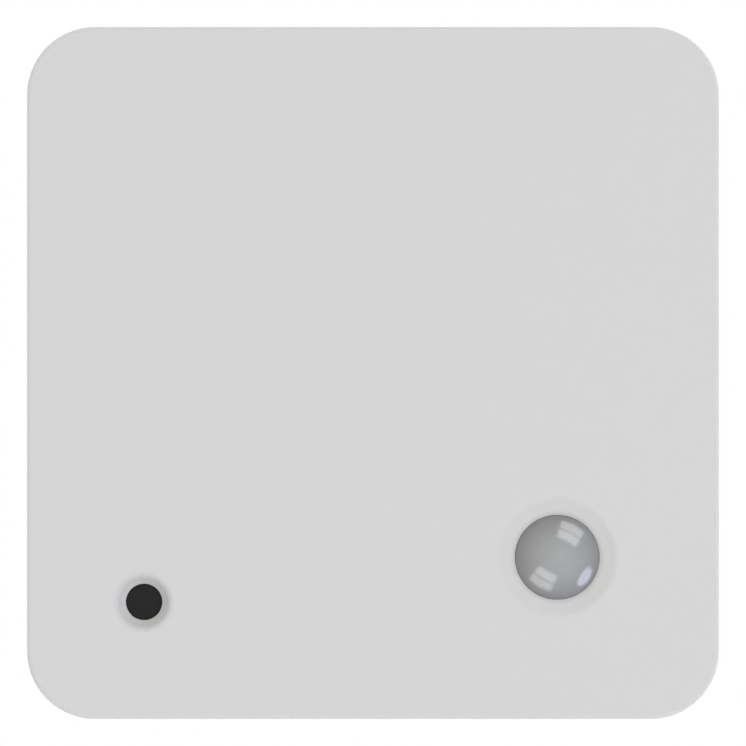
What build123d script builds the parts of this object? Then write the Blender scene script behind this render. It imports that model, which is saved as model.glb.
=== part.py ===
"""Wall-mounted multi-purpose room sensor: a wall plate, and a front unit that pulls off it.

Millimetres. X runs to the right as seen from the room, Z runs up the wall, and the wall is the plane
Y = 0. A height in the names below is a distance from the wall into the room, along -Y.
"""

from build123d import *
import math
import os

# Housing
body_side = 86.0                # outside of the square housing, at its rim
corner_radius = 8.6             # outside corners, seen from the front
side_wall = 2.0
front_wall = 2.0
draft_angle = 0.5               # degrees, the side walls lean in towards the front
face_edge_radius = 0.5          # rounding between the front face and the sides
rim_height = 0.5                # shadow gap that keeps the cover off the wall
rim_lead_in = 0.4               # chamfer inside the rim, which guides the cover on

# Lens opening, at the lower right
lens_inset = 20.2               # from the housing's right and bottom sides
lens_diameter = 10.4
lens_clearance = 0.05           # round the lens in its hole
lens_dish_radius = 7.3
lens_dish_slope = 15.0          # degrees
lens_dish_blend = 2.4
dome_rise = 2.28
lens_skin = 0.6
lens_flange_reach = 1.3         # how far the flange stands out behind the front wall
lens_flange_thickness = 0.8
fresnel_zones = 5
fresnel_step = 0.12
lens_retainer_thickness = 0.7
lens_retainer_step = 0.25       # its bore is this much wider than the lens's, in radius

# Light window, at the lower left
window_inset = 14.65            # from the housing's left and bottom sides
window_diameter = 4.44
window_clearance = 0.04
window_recess = 0.12            # below the inner edge of its dish
window_dish_radius = 3.21
window_dish_slope = 48.0        # degrees
window_dish_blend = 0.9
window_flange_reach = 1.2
window_flange_thickness = 0.8
guide_diameter = 3.0
guide_gap = 0.2                 # between the light guide and its sensor

# Rings that locate the lens and the window behind the front wall
collar_clearance = 0.1
collar_wall = 1.1

# Wall plate
plate_thickness = 2.0
plate_clearance = 0.3           # between the plate's edge and the cover's side walls
skirt_height = 2.5              # above the plate
skirt_thickness = 1.4
skirt_lead_in = 0.3
wall_screw_spacing_x = 54.0
wall_screw_spacing_z = 54.0
screw_hole_radius = 2.2
countersink_radius = 4.0
countersink_angle = 90.0
screw_pad_radius = 6.0
screw_pad_rise = 0.3            # the plate is thicker round each hole
box_screw_spacing = 60.0        # screws of a European flush-mounted wall box
box_slot_length = 8.0
box_head_clearance = 2.2        # recess round a box slot, for the screw's head
box_head_depth = 0.8
plate_rib_thickness = 1.0
plate_rib_height = 0.4
relief_margin = 5.0             # flat land round the shallow relief in the plate's back
relief_depth = 0.5
relief_boss_radius = 5.0        # land left round each screw hole

# Snap arms on the plate, and the pockets for them in the cover
arm_x = 26.0
arm_width = 7.0
arm_thickness = 1.3
arm_slot = 1.0                  # gap in the skirt on each side of an arm
arm_length = 7.6                # above the plate
barb_length = 2.4
barb_reach = 0.75
barb_tip = 0.5                  # flat end of the barb
pocket_clearance = 0.2
pocket_side_clearance = 0.6

# Openings in the cover's top and bottom walls
vent_count = 9
vent_pitch = 3.6
vent_width = 1.6
vent_length = 7.0
vent_height = 12.5              # middle of the slots
pry_notch_width = 8.0
pry_notch_height = 1.4

# Ribs inside the side walls, which stop on the plate's skirt
rib_positions = (-15.0, 15.0)
rib_thickness = 1.2
rib_reach = 1.6
rib_stop_gap = 0.1

# Lithium cells, AA size
cell_diameter = 14.5
cell_length = 50.5              # over the positive cap
cell_cap_diameter = 5.4
cell_cap_length = 1.6
cell_edge_radius = 0.7
cell_groove = 0.25              # depth of the groove near the positive end
cell_gap = 0.8                  # between the cells and the wall plate
cell_float = 0.15               # round a cell in its cradle
contact_gap = 0.05              # between a cell and its two contacts

# Cell holders, one above the other
cell_row_inset = 18.4           # from the housing's top side to the middle of the upper cell
holder_gap = 1.6                # between the two holders
cell_facing = {"upper": 1, "lower": -1}     # +1 has its positive end on the right
holder_floor = 0.9
holder_side = 1.1
holder_end = 1.4
holder_end_rise = 4.5           # end walls, past the middle of the cell
holder_clip_width = 6.0
holder_clip_place = 18.0        # from the middle of the cell
holder_clip_rise = 3.2          # past the middle of the cell
holder_peg_place = 20.0         # from the middle of the cell
holder_peg_radius = 0.75
holder_peg_clearance = 0.1
finger_cut_length = 24.0
finger_cut_depth = 4.0
terminal_thickness = 0.35
terminal_width = 8.0
terminal_rise = 3.6
terminal_pocket_clearance = 0.1
terminal_tail_width = 1.2
terminal_tail_length = 1.0      # past the front of the board
terminal_dimple_radius = 1.7
terminal_dimple_rise = 0.4
spring_wire = 0.7
spring_base_radius = 4.6
spring_tip_radius = 2.7
spring_length = 4.2
spring_turns = 3.0
steps_per_turn = 4              # the wire's path is a pair of arcs for each quarter turn
wire_sides = 8

# Circuit board
board_thickness = 1.6
board_edge_gap = 1.0            # between the board and the side walls
board_notch_clearance = 0.4     # round each rib of the cover
front_gap = 3.5                 # between the board and the front wall
boss_inset = 6.2                # from the inside of the side walls
boss_radius = 2.9
boss_web_thickness = 1.0
boss_web_height = 2.4           # up from the front wall's inside
pilot_clearance = 0.05          # round the screw's core
pilot_into_wall = 0.7
board_hole_clearance = 0.3      # round a screw
board_screw_radius = 1.0
board_screw_length = 4.9
board_screw_head_radius = 2.1
board_screw_crown_radius = 1.3  # flat top of the head
board_screw_head_height = 1.4
board_screw_recess_width = 0.6
board_screw_recess_depth = 0.8
via_clearance = 0.2             # round a lead in its hole

# Motion detector, behind the lens
can_flange_radius = 4.55
can_flange_thickness = 0.5
can_radius = 4.1
can_height = 4.2
can_skin = 0.3
can_edge_radius = 0.4
can_window_width = 4.8
can_window_height = 3.8
filter_thickness = 0.4
filter_margin = 0.4
element_width = 4.4
element_height = 3.0
element_thickness = 0.6
element_groove = 0.5           # between its two halves
lead_radius = 0.22
lead_circle_radius = 2.54
lead_length = 1.2               # past the back of the board
lead_count = 3

# Parts on the board. A place is the distance of the middle from the housing's left or right side,
# and from its bottom side
light_chip_size = 2.0
light_chip_height = 0.7
light_chip_well = 1.2
air_sensor_inset = 8.4
air_sensor_size = 2.5
air_sensor_height = 0.9
air_sensor_hole_radius = 0.5
isolation_slot = 1.2            # routed round the air sensor's tongue
tongue_width = 9.0
tongue_height = 9.0             # up from the board's bottom edge
tongue_neck = 1.6               # at each end of the slot across its top
led_offset = 4.4                # from the window, so that it shows through it
led_length = 3.2
led_width = 1.6
led_height = 1.1
led_base_height = 0.5
led_dome_length = 1.9
led_dome_taper = 8.0            # degrees
controller_from_right = (17.0, 10.0)
controller_size = 7.0
controller_height = 0.9
controller_corner = 0.25
controller_mark_radius = 0.4    # dimple beside the first terminal
controller_mark_depth = 0.1
passive_length = 1.6            # resistors and capacitors in rows round the controller
passive_width = 0.8
passive_pitch = 1.8
passive_gap = 0.8
passives_in_row = 4
resistor_height = 0.45
ceramic_height = 0.8
crystal_length = 3.2
crystal_width = 2.5
crystal_height = 0.8
crystal_corner = 0.4
crystal_edge_radius = 0.15
radio_from_left = (24.0, 22.5)
radio_width = 18.0
radio_height = 16.0
radio_board_thickness = 0.8
radio_pad_count = 7
radio_pad_pitch = 2.0
radio_pad_radius = 0.4
shield_margin = 1.2
shield_rise = 2.2
shield_skin = 0.3
shield_edge_radius = 0.4
shield_hole_radius = 0.4
shield_hole_pitch = 3.2
antenna_from_right = (7.4, 11.2)     # of its lower end
antenna_length = 20.0
antenna_height = 6.0
antenna_thickness = 0.4
antenna_strip = 2.2
antenna_leg = 1.6
antenna_leg_pitch = 5.0
antenna_foot = 2.0
antenna_slot = 0.9
capacitor_from_left = (9.8, 22.0)
capacitor_radius = 3.15
capacitor_height = 7.7
capacitor_bevel = 0.3
capacitor_crimp_place = 1.0     # from the foot of the can
capacitor_crimp_depth = 0.25
capacitor_crimp_half = 0.3
capacitor_base_side = 6.6
capacitor_base_height = 0.9
header_from_right = (31.0, 17.0)
header_pitch = 2.54
header_columns = 3
header_rows = 2
header_base_height = 2.5
header_pin_side = 0.64
header_pin_length = 8.0
header_pin_through = 1.4
switch_from_right = (38.5, 26.0)
switch_side = 6.2
switch_body_height = 3.1
switch_frame_thickness = 0.3
switch_leg_width = 0.7
plunger_radius = 1.75
plunger_clearance = 0.08
plunger_rise = 1.4
plunger_stem_depth = 1.6
plunger_edge_radius = 0.3
plunger_travel = 0.25

# Heights that follow from the stack, from the wall to the front face
cell_radius = cell_diameter / 2
cell_axis_height = plate_thickness + cell_gap + cell_radius
board_back = cell_axis_height + cell_radius + cell_float + holder_floor
board_front = board_back + board_thickness
inner_face = board_front + front_gap
housing_depth = inner_face + front_wall
skirt_top = plate_thickness + skirt_height

# Places that follow from them
half_side = body_side / 2
lens_x = half_side - lens_inset
lens_z = lens_inset - half_side
window_x = window_inset - half_side
window_z = window_inset - half_side
cavity_side = body_side - 2 * side_wall
plate_side = cavity_side - 2 * plate_clearance
plate_corner_radius = corner_radius - side_wall - plate_clearance
lens_radius = lens_diameter / 2
lens_dish_depth = (lens_dish_radius - lens_radius - lens_clearance) * math.tan(math.radians(lens_dish_slope))
dome_base = housing_depth - lens_dish_depth
lens_flange_radius = lens_radius + lens_flange_reach
window_radius = window_diameter / 2
window_dish_depth = (window_dish_radius - window_radius - window_clearance) * math.tan(
    math.radians(window_dish_slope)
)
window_face = housing_depth - window_dish_depth - window_recess
window_flange_radius = window_radius + window_flange_reach
light_chip_top = board_front + light_chip_height
led_place = (window_x + led_offset, window_z)
bay_length = cell_length + spring_length + terminal_dimple_rise + 2 * terminal_thickness + 2 * contact_gap
holder_length = bay_length + 2 * holder_end
holder_width = cell_diameter + 2 * (cell_float + holder_side)
upper_row_z = half_side - cell_row_inset
holder_z = {"upper": upper_row_z, "lower": upper_row_z - holder_width - holder_gap}
boss_offset = cavity_side / 2 - boss_inset
boss_places = [(x, z) for x in (-boss_offset, boss_offset) for z in (-boss_offset, boss_offset)]
pilot_radius = board_screw_radius + pilot_clearance
board_hole_radius = board_screw_radius + board_hole_clearance
arm_places = [(x, way) for x in (-arm_x, arm_x) for way in (-1, 1)]


def wall_plane(height):
    """A plane parallel to the wall. Its normal points into the room, and its axes are X and Z."""
    return Plane.XZ.offset(height)


def turning_plane(x, z):
    """A plane for the profile of a part turned about a line square to the wall: radius, then height."""
    return Plane(origin=(x, 0, z), x_dir=(1, 0, 0), z_dir=(0, 0, -1))


def turning_axis(x, z):
    return Axis((x, 0, z), (0, -1, 0))


def inset_by_draft(height):
    """How far a side wall has leant in at a height."""
    return (height - rim_height) * math.tan(math.radians(draft_angle))


def from_left(place):
    return place[0] - half_side, place[1] - half_side


def from_right(place):
    return half_side - place[0], place[1] - half_side


def save(part, name):
    part.label = name
    export_step(part, f"parts/{name}.step")


def coil_point(start, way, length, step):
    """A point of a cell's conical spring and the wire's direction there, by quarter turns."""
    share = step / (spring_turns * steps_per_turn)
    angle = 2 * math.pi * step / steps_per_turn
    radius = spring_base_radius + (spring_tip_radius - spring_base_radius) * share
    outward = Vector(0, math.cos(angle), math.sin(angle))
    along = Vector(0, -math.sin(angle), math.cos(angle))
    turned = 2 * math.pi * spring_turns
    slope = (spring_tip_radius - spring_base_radius) / turned
    heading = along * radius + outward * slope + way * (length / turned)
    return start + way * (length * share) + outward * radius, heading.normalized()


def add_biarc(start, start_way, end, end_way):
    """Two arcs between two points, smooth where they meet and in a given direction at each end."""
    chord = end - start
    both = start_way + end_way
    spread = 2 * (1 - start_way.dot(end_way))
    reach = (math.sqrt(chord.dot(both) ** 2 + spread * chord.dot(chord)) - chord.dot(both)) / spread
    middle = (start + end + (start_way - end_way) * reach) * 0.5
    first = TangentArc(start, middle, tangent=start_way)
    TangentArc(middle, end, tangent=first % 1)


os.makedirs("parts", exist_ok=True)

# Front cover: a drafted square shell, with its dishes, vents, bosses, ribs and snap pockets
with BuildPart() as front_cover:
    with BuildSketch(wall_plane(rim_height)):
        RectangleRounded(body_side, body_side, corner_radius)
    extrude(amount=housing_depth - rim_height, taper=draft_angle)
    front_edges = front_cover.faces().sort_by(Axis.Y)[0].edges()
    fillet(front_edges, face_edge_radius)
    with BuildSketch(wall_plane(rim_height)):
        RectangleRounded(cavity_side, cavity_side, corner_radius - side_wall)
    extrude(amount=inner_face - rim_height, taper=draft_angle, mode=Mode.SUBTRACT)

    rim_face = front_cover.faces().sort_by(Axis.Y)[-1]
    chamfer(rim_face.inner_wires()[0].edges(), rim_lead_in)

    # Screw bosses for the board, and the rings that locate the lens and the window
    with BuildSketch(wall_plane(board_front)):
        with Locations(*boss_places):
            Circle(boss_radius)
    extrude(amount=front_gap)
    for x, z, flange_radius, depth in (
        (lens_x, lens_z, lens_flange_radius, lens_flange_thickness + lens_retainer_thickness),
        (window_x, window_z, window_flange_radius, window_flange_thickness),
    ):
        with BuildSketch(wall_plane(inner_face)):
            with Locations((x, z)):
                Circle(flange_radius + collar_clearance + collar_wall)
                Circle(flange_radius + collar_clearance, mode=Mode.SUBTRACT)
        extrude(amount=-depth)

    with BuildSketch(wall_plane(inner_face)):
        for x, z in boss_places:
            reach_x = math.copysign(cavity_side / 2, x)
            reach_z = math.copysign(cavity_side / 2, z)
            with Locations(((x + reach_x) / 2, z)):
                Rectangle(abs(reach_x - x), boss_web_thickness)
            with Locations((x, (z + reach_z) / 2)):
                Rectangle(boss_web_thickness, abs(reach_z - z))
    extrude(amount=-boss_web_height)

    # Ribs down the side walls, ending just short of the plate's skirt
    rib_length = inner_face - skirt_top - rib_stop_gap
    for side in (-1, 1):
        with BuildSketch(wall_plane(inner_face)):
            with Locations(*[(side * cavity_side / 2, z) for z in rib_positions]):
                Rectangle(2 * rib_reach, rib_thickness)
        extrude(amount=-rib_length)

    # Dished openings for the lens and the window
    for x, z, hole_radius, dish_radius, dish_depth in (
        (lens_x, lens_z, lens_radius + lens_clearance, lens_dish_radius, lens_dish_depth),
        (window_x, window_z, window_radius + window_clearance, window_dish_radius, window_dish_depth),
    ):
        with BuildSketch(turning_plane(x, z)):
            with BuildLine():
                Polyline(
                    (0, housing_depth),
                    (dish_radius, housing_depth),
                    (hole_radius, housing_depth - dish_depth),
                    (hole_radius, inner_face - front_wall),
                    (0, inner_face - front_wall),
                    close=True,
                )
            make_face()
        revolve(axis=turning_axis(x, z), mode=Mode.SUBTRACT)
    dish_rims = front_cover.faces().sort_by(Axis.Y)[0].edges().filter_by(GeomType.CIRCLE)
    fillet(dish_rims.filter_by(lambda edge: abs(edge.radius - lens_dish_radius) < 0.01), lens_dish_blend)
    dish_rims = front_cover.faces().sort_by(Axis.Y)[0].edges().filter_by(GeomType.CIRCLE)
    fillet(dish_rims.filter_by(lambda edge: abs(edge.radius - window_dish_radius) < 0.01), window_dish_blend)

    # Pilot holes for the board's screws
    with Locations(wall_plane(board_front)):
        with Locations(*boss_places):
            Cylinder(
                pilot_radius,
                front_gap + pilot_into_wall,
                align=(Align.CENTER, Align.CENTER, Align.MIN),
                mode=Mode.SUBTRACT,
            )

    # Air slots through the top and bottom walls, and the notch for prying the cover off
    with BuildSketch(Plane.XY):
        with Locations((0, -vent_height)):
            with GridLocations(vent_pitch, 0, vent_count, 1):
                SlotOverall(vent_length, vent_width, rotation=90)
    extrude(amount=body_side / 2, both=True, mode=Mode.SUBTRACT)
    with BuildSketch(Plane.XY.offset(-body_side / 2)):
        with Locations((0, -rim_height)):
            SlotOverall(pry_notch_width, 2 * pry_notch_height)
    extrude(amount=side_wall, both=True, mode=Mode.SUBTRACT)

    # Pockets that the snap arms' barbs catch in
    barb_top = plate_thickness + arm_length
    pocket_low = barb_top - barb_length - pocket_clearance
    pocket_high = barb_top + pocket_clearance
    pocket_depth = barb_reach - plate_clearance + pocket_clearance
    for x, way in arm_places:
        with BuildSketch(wall_plane(pocket_low)):
            with Locations((x, way * cavity_side / 2)):
                Rectangle(arm_width + 2 * pocket_side_clearance, 2 * pocket_depth)
        extrude(amount=pocket_high - pocket_low, mode=Mode.SUBTRACT)
save(front_cover.part, "front_cover")

# Wall plate: a flat moulding with a skirt, screw holes and box slots
with BuildPart() as wall_plate:
    with BuildSketch(wall_plane(0)):
        RectangleRounded(plate_side, plate_side, plate_corner_radius)
    extrude(amount=plate_thickness)
    with BuildSketch(wall_plane(plate_thickness)):
        RectangleRounded(plate_side, plate_side, plate_corner_radius)
        offset(amount=-skirt_thickness, mode=Mode.SUBTRACT)
        with Locations(*[(x, way * plate_side / 2) for x, way in arm_places]):
            Rectangle(arm_width + 2 * arm_slot, 4 * skirt_thickness, mode=Mode.SUBTRACT)
    extrude(amount=skirt_height)
    chamfer(wall_plate.edges().group_by(Axis.Y)[0], skirt_lead_in)
    with BuildSketch(wall_plane(plate_thickness)):
        with GridLocations(0, wall_screw_spacing_z, 1, 2):
            Rectangle(wall_screw_spacing_x, plate_rib_thickness)
        with GridLocations(wall_screw_spacing_x, 0, 2, 1):
            Rectangle(plate_rib_thickness, wall_screw_spacing_z)
    extrude(amount=plate_rib_height)
    with BuildSketch(wall_plane(plate_thickness)):
        with GridLocations(wall_screw_spacing_x, wall_screw_spacing_z, 2, 2):
            Circle(screw_pad_radius)
    extrude(amount=screw_pad_rise)
    with Locations(wall_plane(plate_thickness + screw_pad_rise)):
        with GridLocations(wall_screw_spacing_x, wall_screw_spacing_z, 2, 2):
            CounterSinkHole(screw_hole_radius, countersink_radius, counter_sink_angle=countersink_angle)
    with BuildSketch(wall_plane(0)):
        with GridLocations(box_screw_spacing, 0, 2, 1):
            SlotOverall(box_slot_length, 2 * screw_hole_radius)
    extrude(amount=plate_thickness + plate_rib_height, mode=Mode.SUBTRACT)
    with BuildSketch(wall_plane(plate_thickness - box_head_depth)):
        with GridLocations(box_screw_spacing, 0, 2, 1):
            SlotOverall(
                box_slot_length + 2 * box_head_clearance,
                2 * (screw_hole_radius + box_head_clearance),
            )
    extrude(amount=box_head_depth + plate_rib_height, mode=Mode.SUBTRACT)
    # Shallow relief in the back, so that the plate bears on its edge and round its screws
    with BuildSketch(wall_plane(0)):
        relief_side = plate_side - 2 * relief_margin
        RectangleRounded(relief_side, relief_side, plate_corner_radius)
        with GridLocations(wall_screw_spacing_x, wall_screw_spacing_z, 2, 2):
            Circle(relief_boss_radius, mode=Mode.SUBTRACT)
        with GridLocations(box_screw_spacing, 0, 2, 1):
            SlotOverall(
                box_slot_length + 2 * box_head_clearance,
                2 * (screw_hole_radius + box_head_clearance),
                mode=Mode.SUBTRACT,
            )
    extrude(amount=relief_depth, mode=Mode.SUBTRACT)
save(wall_plate.part, "wall_plate")

# Snap arms: four cantilevers that stand on the plate and hold the cover by their barbs
with BuildPart() as snap_arms:
    arm_outer = plate_side / 2
    for x, way in arm_places:
        with BuildSketch(Plane(origin=(x, 0, 0), x_dir=(0, 0, way), z_dir=(way, 0, 0))):
            with BuildLine():
                Polyline(
                    (arm_outer - arm_thickness, plate_thickness),
                    (arm_outer, plate_thickness),
                    (arm_outer, barb_top - barb_length),
                    (arm_outer + barb_reach, barb_top - barb_length + barb_tip),
                    (arm_outer + barb_reach, barb_top - barb_length + 2 * barb_tip),
                    (arm_outer, barb_top),
                    (arm_outer - arm_thickness, barb_top),
                    close=True,
                )
            make_face()
        extrude(amount=arm_width / 2, both=True)
save(snap_arms.part, "snap_arms")

# Lens: a domed shell with a skirt, a flange behind the front wall and stepped rings inside
dome_radius = (lens_radius**2 + dome_rise**2) / (2 * dome_rise)
dome_centre = dome_base + dome_rise - dome_radius
skirt_bore = lens_radius - lens_skin


def inside_of_dome(radius):
    """Height of the lens's inner surface, one skin below the dome, before its steps."""
    inner_sphere = dome_radius - lens_skin
    return dome_centre + math.sqrt(max(inner_sphere**2 - radius**2, 0))


with BuildPart() as pir_lens:
    with BuildSketch(turning_plane(lens_x, lens_z)):
        with BuildLine():
            RadiusArc((0, dome_base + dome_rise), (lens_radius, dome_base), dome_radius)
            steps = []
            for zone in range(fresnel_zones, 0, -1):
                outer = skirt_bore * zone / fresnel_zones
                inner = skirt_bore * (zone - 1) / fresnel_zones
                steps.append((outer, inside_of_dome(outer)))
                steps.append((inner, inside_of_dome(inner) - fresnel_step))
            Polyline(
                (lens_radius, dome_base),
                (lens_radius, inner_face),
                (lens_flange_radius, inner_face),
                (lens_flange_radius, inner_face - lens_flange_thickness),
                (skirt_bore, inner_face - lens_flange_thickness),
                *steps,
                (0, dome_base + dome_rise),
            )
        make_face()
    revolve(axis=turning_axis(lens_x, lens_z))
save(pir_lens.part, "pir_lens")

# Ring that holds the lens in its collar
with BuildPart() as lens_retainer:
    with BuildSketch(wall_plane(inner_face - lens_flange_thickness)):
        with Locations((lens_x, lens_z)):
            Circle(lens_flange_radius + collar_clearance)
            Circle(skirt_bore + lens_retainer_step, mode=Mode.SUBTRACT)
    extrude(amount=-lens_retainer_thickness)
    back_rims = lens_retainer.faces().sort_by(Axis.Y)[-1].edges().sort_by(SortBy.RADIUS)
    chamfer(back_rims[0], lens_retainer_thickness / 3)
save(lens_retainer.part, "lens_retainer")

# Dark window, and the clear guide that takes its light to the sensor
with BuildPart() as light_window:
    with BuildSketch(wall_plane(inner_face - window_flange_thickness)):
        with Locations((window_x, window_z)):
            Circle(window_flange_radius)
    extrude(amount=window_flange_thickness)
    with BuildSketch(wall_plane(inner_face)):
        with Locations((window_x, window_z)):
            Circle(window_radius)
    extrude(amount=window_face - inner_face)
save(light_window.part, "light_window")

with BuildPart() as light_guide:
    guide_length = inner_face - window_flange_thickness - light_chip_top - guide_gap
    with BuildSketch(wall_plane(light_chip_top + guide_gap)):
        with Locations((window_x, window_z)):
            Circle(guide_diameter / 2)
    extrude(amount=guide_length)
    chamfer(light_guide.edges().sort_by(Axis.Y)[-1], guide_diameter / 10)
save(light_guide.part, "light_guide")

# Circuit board: notched round the cover's ribs, drilled for screws, leads and terminals
tail_places = [
    (end * (bay_length - terminal_thickness) / 2, z) for z in holder_z.values() for end in (-1, 1)
]
peg_places = [(way * holder_peg_place, z) for z in holder_z.values() for way in (-1, 1)]
lead_places = [
    (
        lens_x + lead_circle_radius * math.cos(math.radians(90 * number)),
        lens_z + lead_circle_radius * math.sin(math.radians(90 * number)),
    )
    for number in range(lead_count)
]
board_side = cavity_side - 2 * inset_by_draft(board_front) - 2 * board_edge_gap
board_corner_radius = corner_radius - side_wall - board_edge_gap
air_sensor_place = (0, air_sensor_inset - half_side)
controller_place = from_right(controller_from_right)
radio_place = from_left(radio_from_left)
capacitor_place = from_left(capacitor_from_left)
header_place = from_right(header_from_right)
switch_place = from_right(switch_from_right)
antenna_x, antenna_end = from_right(antenna_from_right)
header_places = [
    (
        header_place[0] + header_pitch * (column - (header_columns - 1) / 2),
        header_place[1] + header_pitch * (row - (header_rows - 1) / 2),
    )
    for column in range(header_columns)
    for row in range(header_rows)
]

with BuildPart() as main_board:
    with BuildSketch(wall_plane(board_back)):
        RectangleRounded(board_side, board_side, board_corner_radius)
        for side in (-1, 1):
            with Locations(*[(side * cavity_side / 2, z) for z in rib_positions]):
                Rectangle(
                    2 * (rib_reach + board_notch_clearance),
                    rib_thickness + 2 * board_notch_clearance,
                    mode=Mode.SUBTRACT,
                )
        with Locations(*boss_places):
            Circle(board_hole_radius, mode=Mode.SUBTRACT)
        with Locations(*lead_places):
            Circle(lead_radius + via_clearance, mode=Mode.SUBTRACT)
        with Locations(*tail_places):
            Circle(terminal_tail_width / 2 + via_clearance, mode=Mode.SUBTRACT)
        with Locations(*peg_places):
            Circle(holder_peg_radius + holder_peg_clearance, mode=Mode.SUBTRACT)
        with Locations(*header_places):
            Circle(header_pin_side * math.sqrt(0.5) + via_clearance / 2, mode=Mode.SUBTRACT)
        # Slots that keep the board's heat from the tongue with the air sensor
        with Locations((air_sensor_place[0], -board_side / 2)):
            with GridLocations(tongue_width + isolation_slot, 0, 2, 1):
                Rectangle(isolation_slot, 2 * tongue_height, mode=Mode.SUBTRACT)
        with Locations((air_sensor_place[0], tongue_height - board_side / 2)):
            SlotOverall(tongue_width - 2 * tongue_neck, isolation_slot, mode=Mode.SUBTRACT)
    extrude(amount=board_thickness)
save(main_board.part, "main_board")

# Screws that hold the board on the cover's bosses, heads on the back of the board
with BuildPart() as board_screws:
    for x, z in boss_places:
        with BuildSketch(turning_plane(x, z)):
            with BuildLine():
                Polyline(
                    (0, board_back - board_screw_head_height),
                    (board_screw_crown_radius, board_back - board_screw_head_height),
                    (board_screw_head_radius, board_back - board_screw_head_height / 2),
                    (board_screw_head_radius, board_back),
                    (board_screw_radius, board_back),
                    (board_screw_radius, board_back + board_screw_length - board_screw_radius),
                    (board_screw_radius / 3, board_back + board_screw_length),
                    (0, board_back + board_screw_length),
                    close=True,
                )
            make_face()
        revolve(axis=turning_axis(x, z))
    with BuildSketch(wall_plane(board_back - board_screw_head_height)):
        with Locations(*boss_places):
            Rectangle(2 * board_screw_radius, board_screw_recess_width)
            Rectangle(board_screw_recess_width, 2 * board_screw_radius)
    extrude(amount=board_screw_recess_depth, mode=Mode.SUBTRACT)
save(board_screws.part, "board_screws")

# Motion detector: a metal can with a window, the filter under it and its leads
with BuildPart() as pir_can:
    with BuildSketch(wall_plane(board_front)):
        with Locations((lens_x, lens_z)):
            Circle(can_flange_radius)
    extrude(amount=can_flange_thickness)
    with BuildSketch(wall_plane(board_front)):
        with Locations((lens_x, lens_z)):
            Circle(can_radius)
    extrude(amount=can_height)
    can_top = pir_can.faces().sort_by(Axis.Y)[0]
    fillet(can_top.edges(), can_edge_radius)
    with BuildSketch(wall_plane(board_front + can_flange_thickness)):
        with Locations((lens_x, lens_z)):
            Circle(can_radius - can_skin)
    extrude(amount=can_height - can_flange_thickness - can_skin, mode=Mode.SUBTRACT)
    with BuildSketch(wall_plane(board_front + can_height)):
        with Locations((lens_x, lens_z)):
            Rectangle(can_window_width, can_window_height)
    extrude(amount=-can_skin, mode=Mode.SUBTRACT)
save(pir_can.part, "pir_can")

with BuildPart() as pir_filter:
    with BuildSketch(wall_plane(board_front + can_height - can_skin)):
        with Locations((lens_x, lens_z)):
            Rectangle(can_window_width + 2 * filter_margin, can_window_height + 2 * filter_margin)
    extrude(amount=-filter_thickness)
save(pir_filter.part, "pir_filter")

with BuildPart() as pir_element:
    with BuildSketch(wall_plane(board_front + can_flange_thickness)):
        with Locations((lens_x, lens_z)):
            Rectangle(element_width, element_height)
    extrude(amount=element_thickness)
    with BuildSketch(wall_plane(board_front + can_flange_thickness + element_thickness)):
        with Locations((lens_x, lens_z)):
            Rectangle(element_groove, element_height)
    extrude(amount=-element_thickness / 3, mode=Mode.SUBTRACT)
save(pir_element.part, "pir_element")

with BuildPart() as pir_leads:
    with BuildSketch(wall_plane(board_front)):
        with Locations(*lead_places):
            Circle(lead_radius)
    extrude(amount=-(board_thickness + lead_length))
save(pir_leads.part, "pir_leads")

# Ambient light sensor, under the guide
with BuildPart() as light_sensor:
    with BuildSketch(wall_plane(board_front)):
        with Locations((window_x, window_z)):
            Rectangle(light_chip_size, light_chip_size)
    extrude(amount=light_chip_height)
    with BuildSketch(wall_plane(light_chip_top)):
        with Locations((window_x, window_z)):
            Rectangle(light_chip_well, light_chip_well)
    extrude(amount=-light_chip_height / 4, mode=Mode.SUBTRACT)
save(light_sensor.part, "light_sensor")

# Temperature and humidity sensor, by the bottom air slots
with BuildPart() as air_sensor:
    with BuildSketch(wall_plane(board_back)):
        with Locations(air_sensor_place):
            Rectangle(air_sensor_size, air_sensor_size)
    extrude(amount=-air_sensor_height)
    chamfer(air_sensor.edges().filter_by(Axis.Y), air_sensor_size / 20)
    with BuildSketch(wall_plane(board_back - air_sensor_height)):
        with Locations(air_sensor_place):
            Circle(air_sensor_hole_radius)
    extrude(amount=air_sensor_height / 2, mode=Mode.SUBTRACT)
save(air_sensor.part, "air_sensor")

# Status light, on the front of the board
with BuildPart() as status_led:
    with BuildSketch(wall_plane(board_front)):
        with Locations(led_place):
            Rectangle(led_length, led_width)
    extrude(amount=led_base_height)
    with BuildSketch(wall_plane(board_front + led_base_height)):
        with Locations(led_place):
            Rectangle(led_dome_length, led_width)
    extrude(amount=led_height - led_base_height, taper=led_dome_taper)
save(status_led.part, "status_led")

# Microcontroller, with the small parts round it
with BuildPart() as microcontroller:
    mark_offset = controller_size / 3
    with BuildSketch(wall_plane(board_back)):
        with Locations(controller_place):
            Rectangle(controller_size, controller_size)
    extrude(amount=-controller_height)
    chamfer(microcontroller.edges().filter_by(Axis.Y), controller_corner)
    with BuildSketch(wall_plane(board_back - controller_height)):
        with Locations((controller_place[0] - mark_offset, controller_place[1] + mark_offset)):
            Circle(controller_mark_radius)
    extrude(amount=controller_mark_depth, mode=Mode.SUBTRACT)
save(microcontroller.part, "microcontroller")

row_distance = controller_size + passive_length + 2 * passive_gap
with BuildPart() as board_resistors:
    with BuildSketch(wall_plane(board_back)):
        with Locations(controller_place):
            with GridLocations(row_distance, passive_pitch, 2, passives_in_row):
                Rectangle(passive_length, passive_width)
    extrude(amount=-resistor_height)
save(board_resistors.part, "board_resistors")

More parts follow.
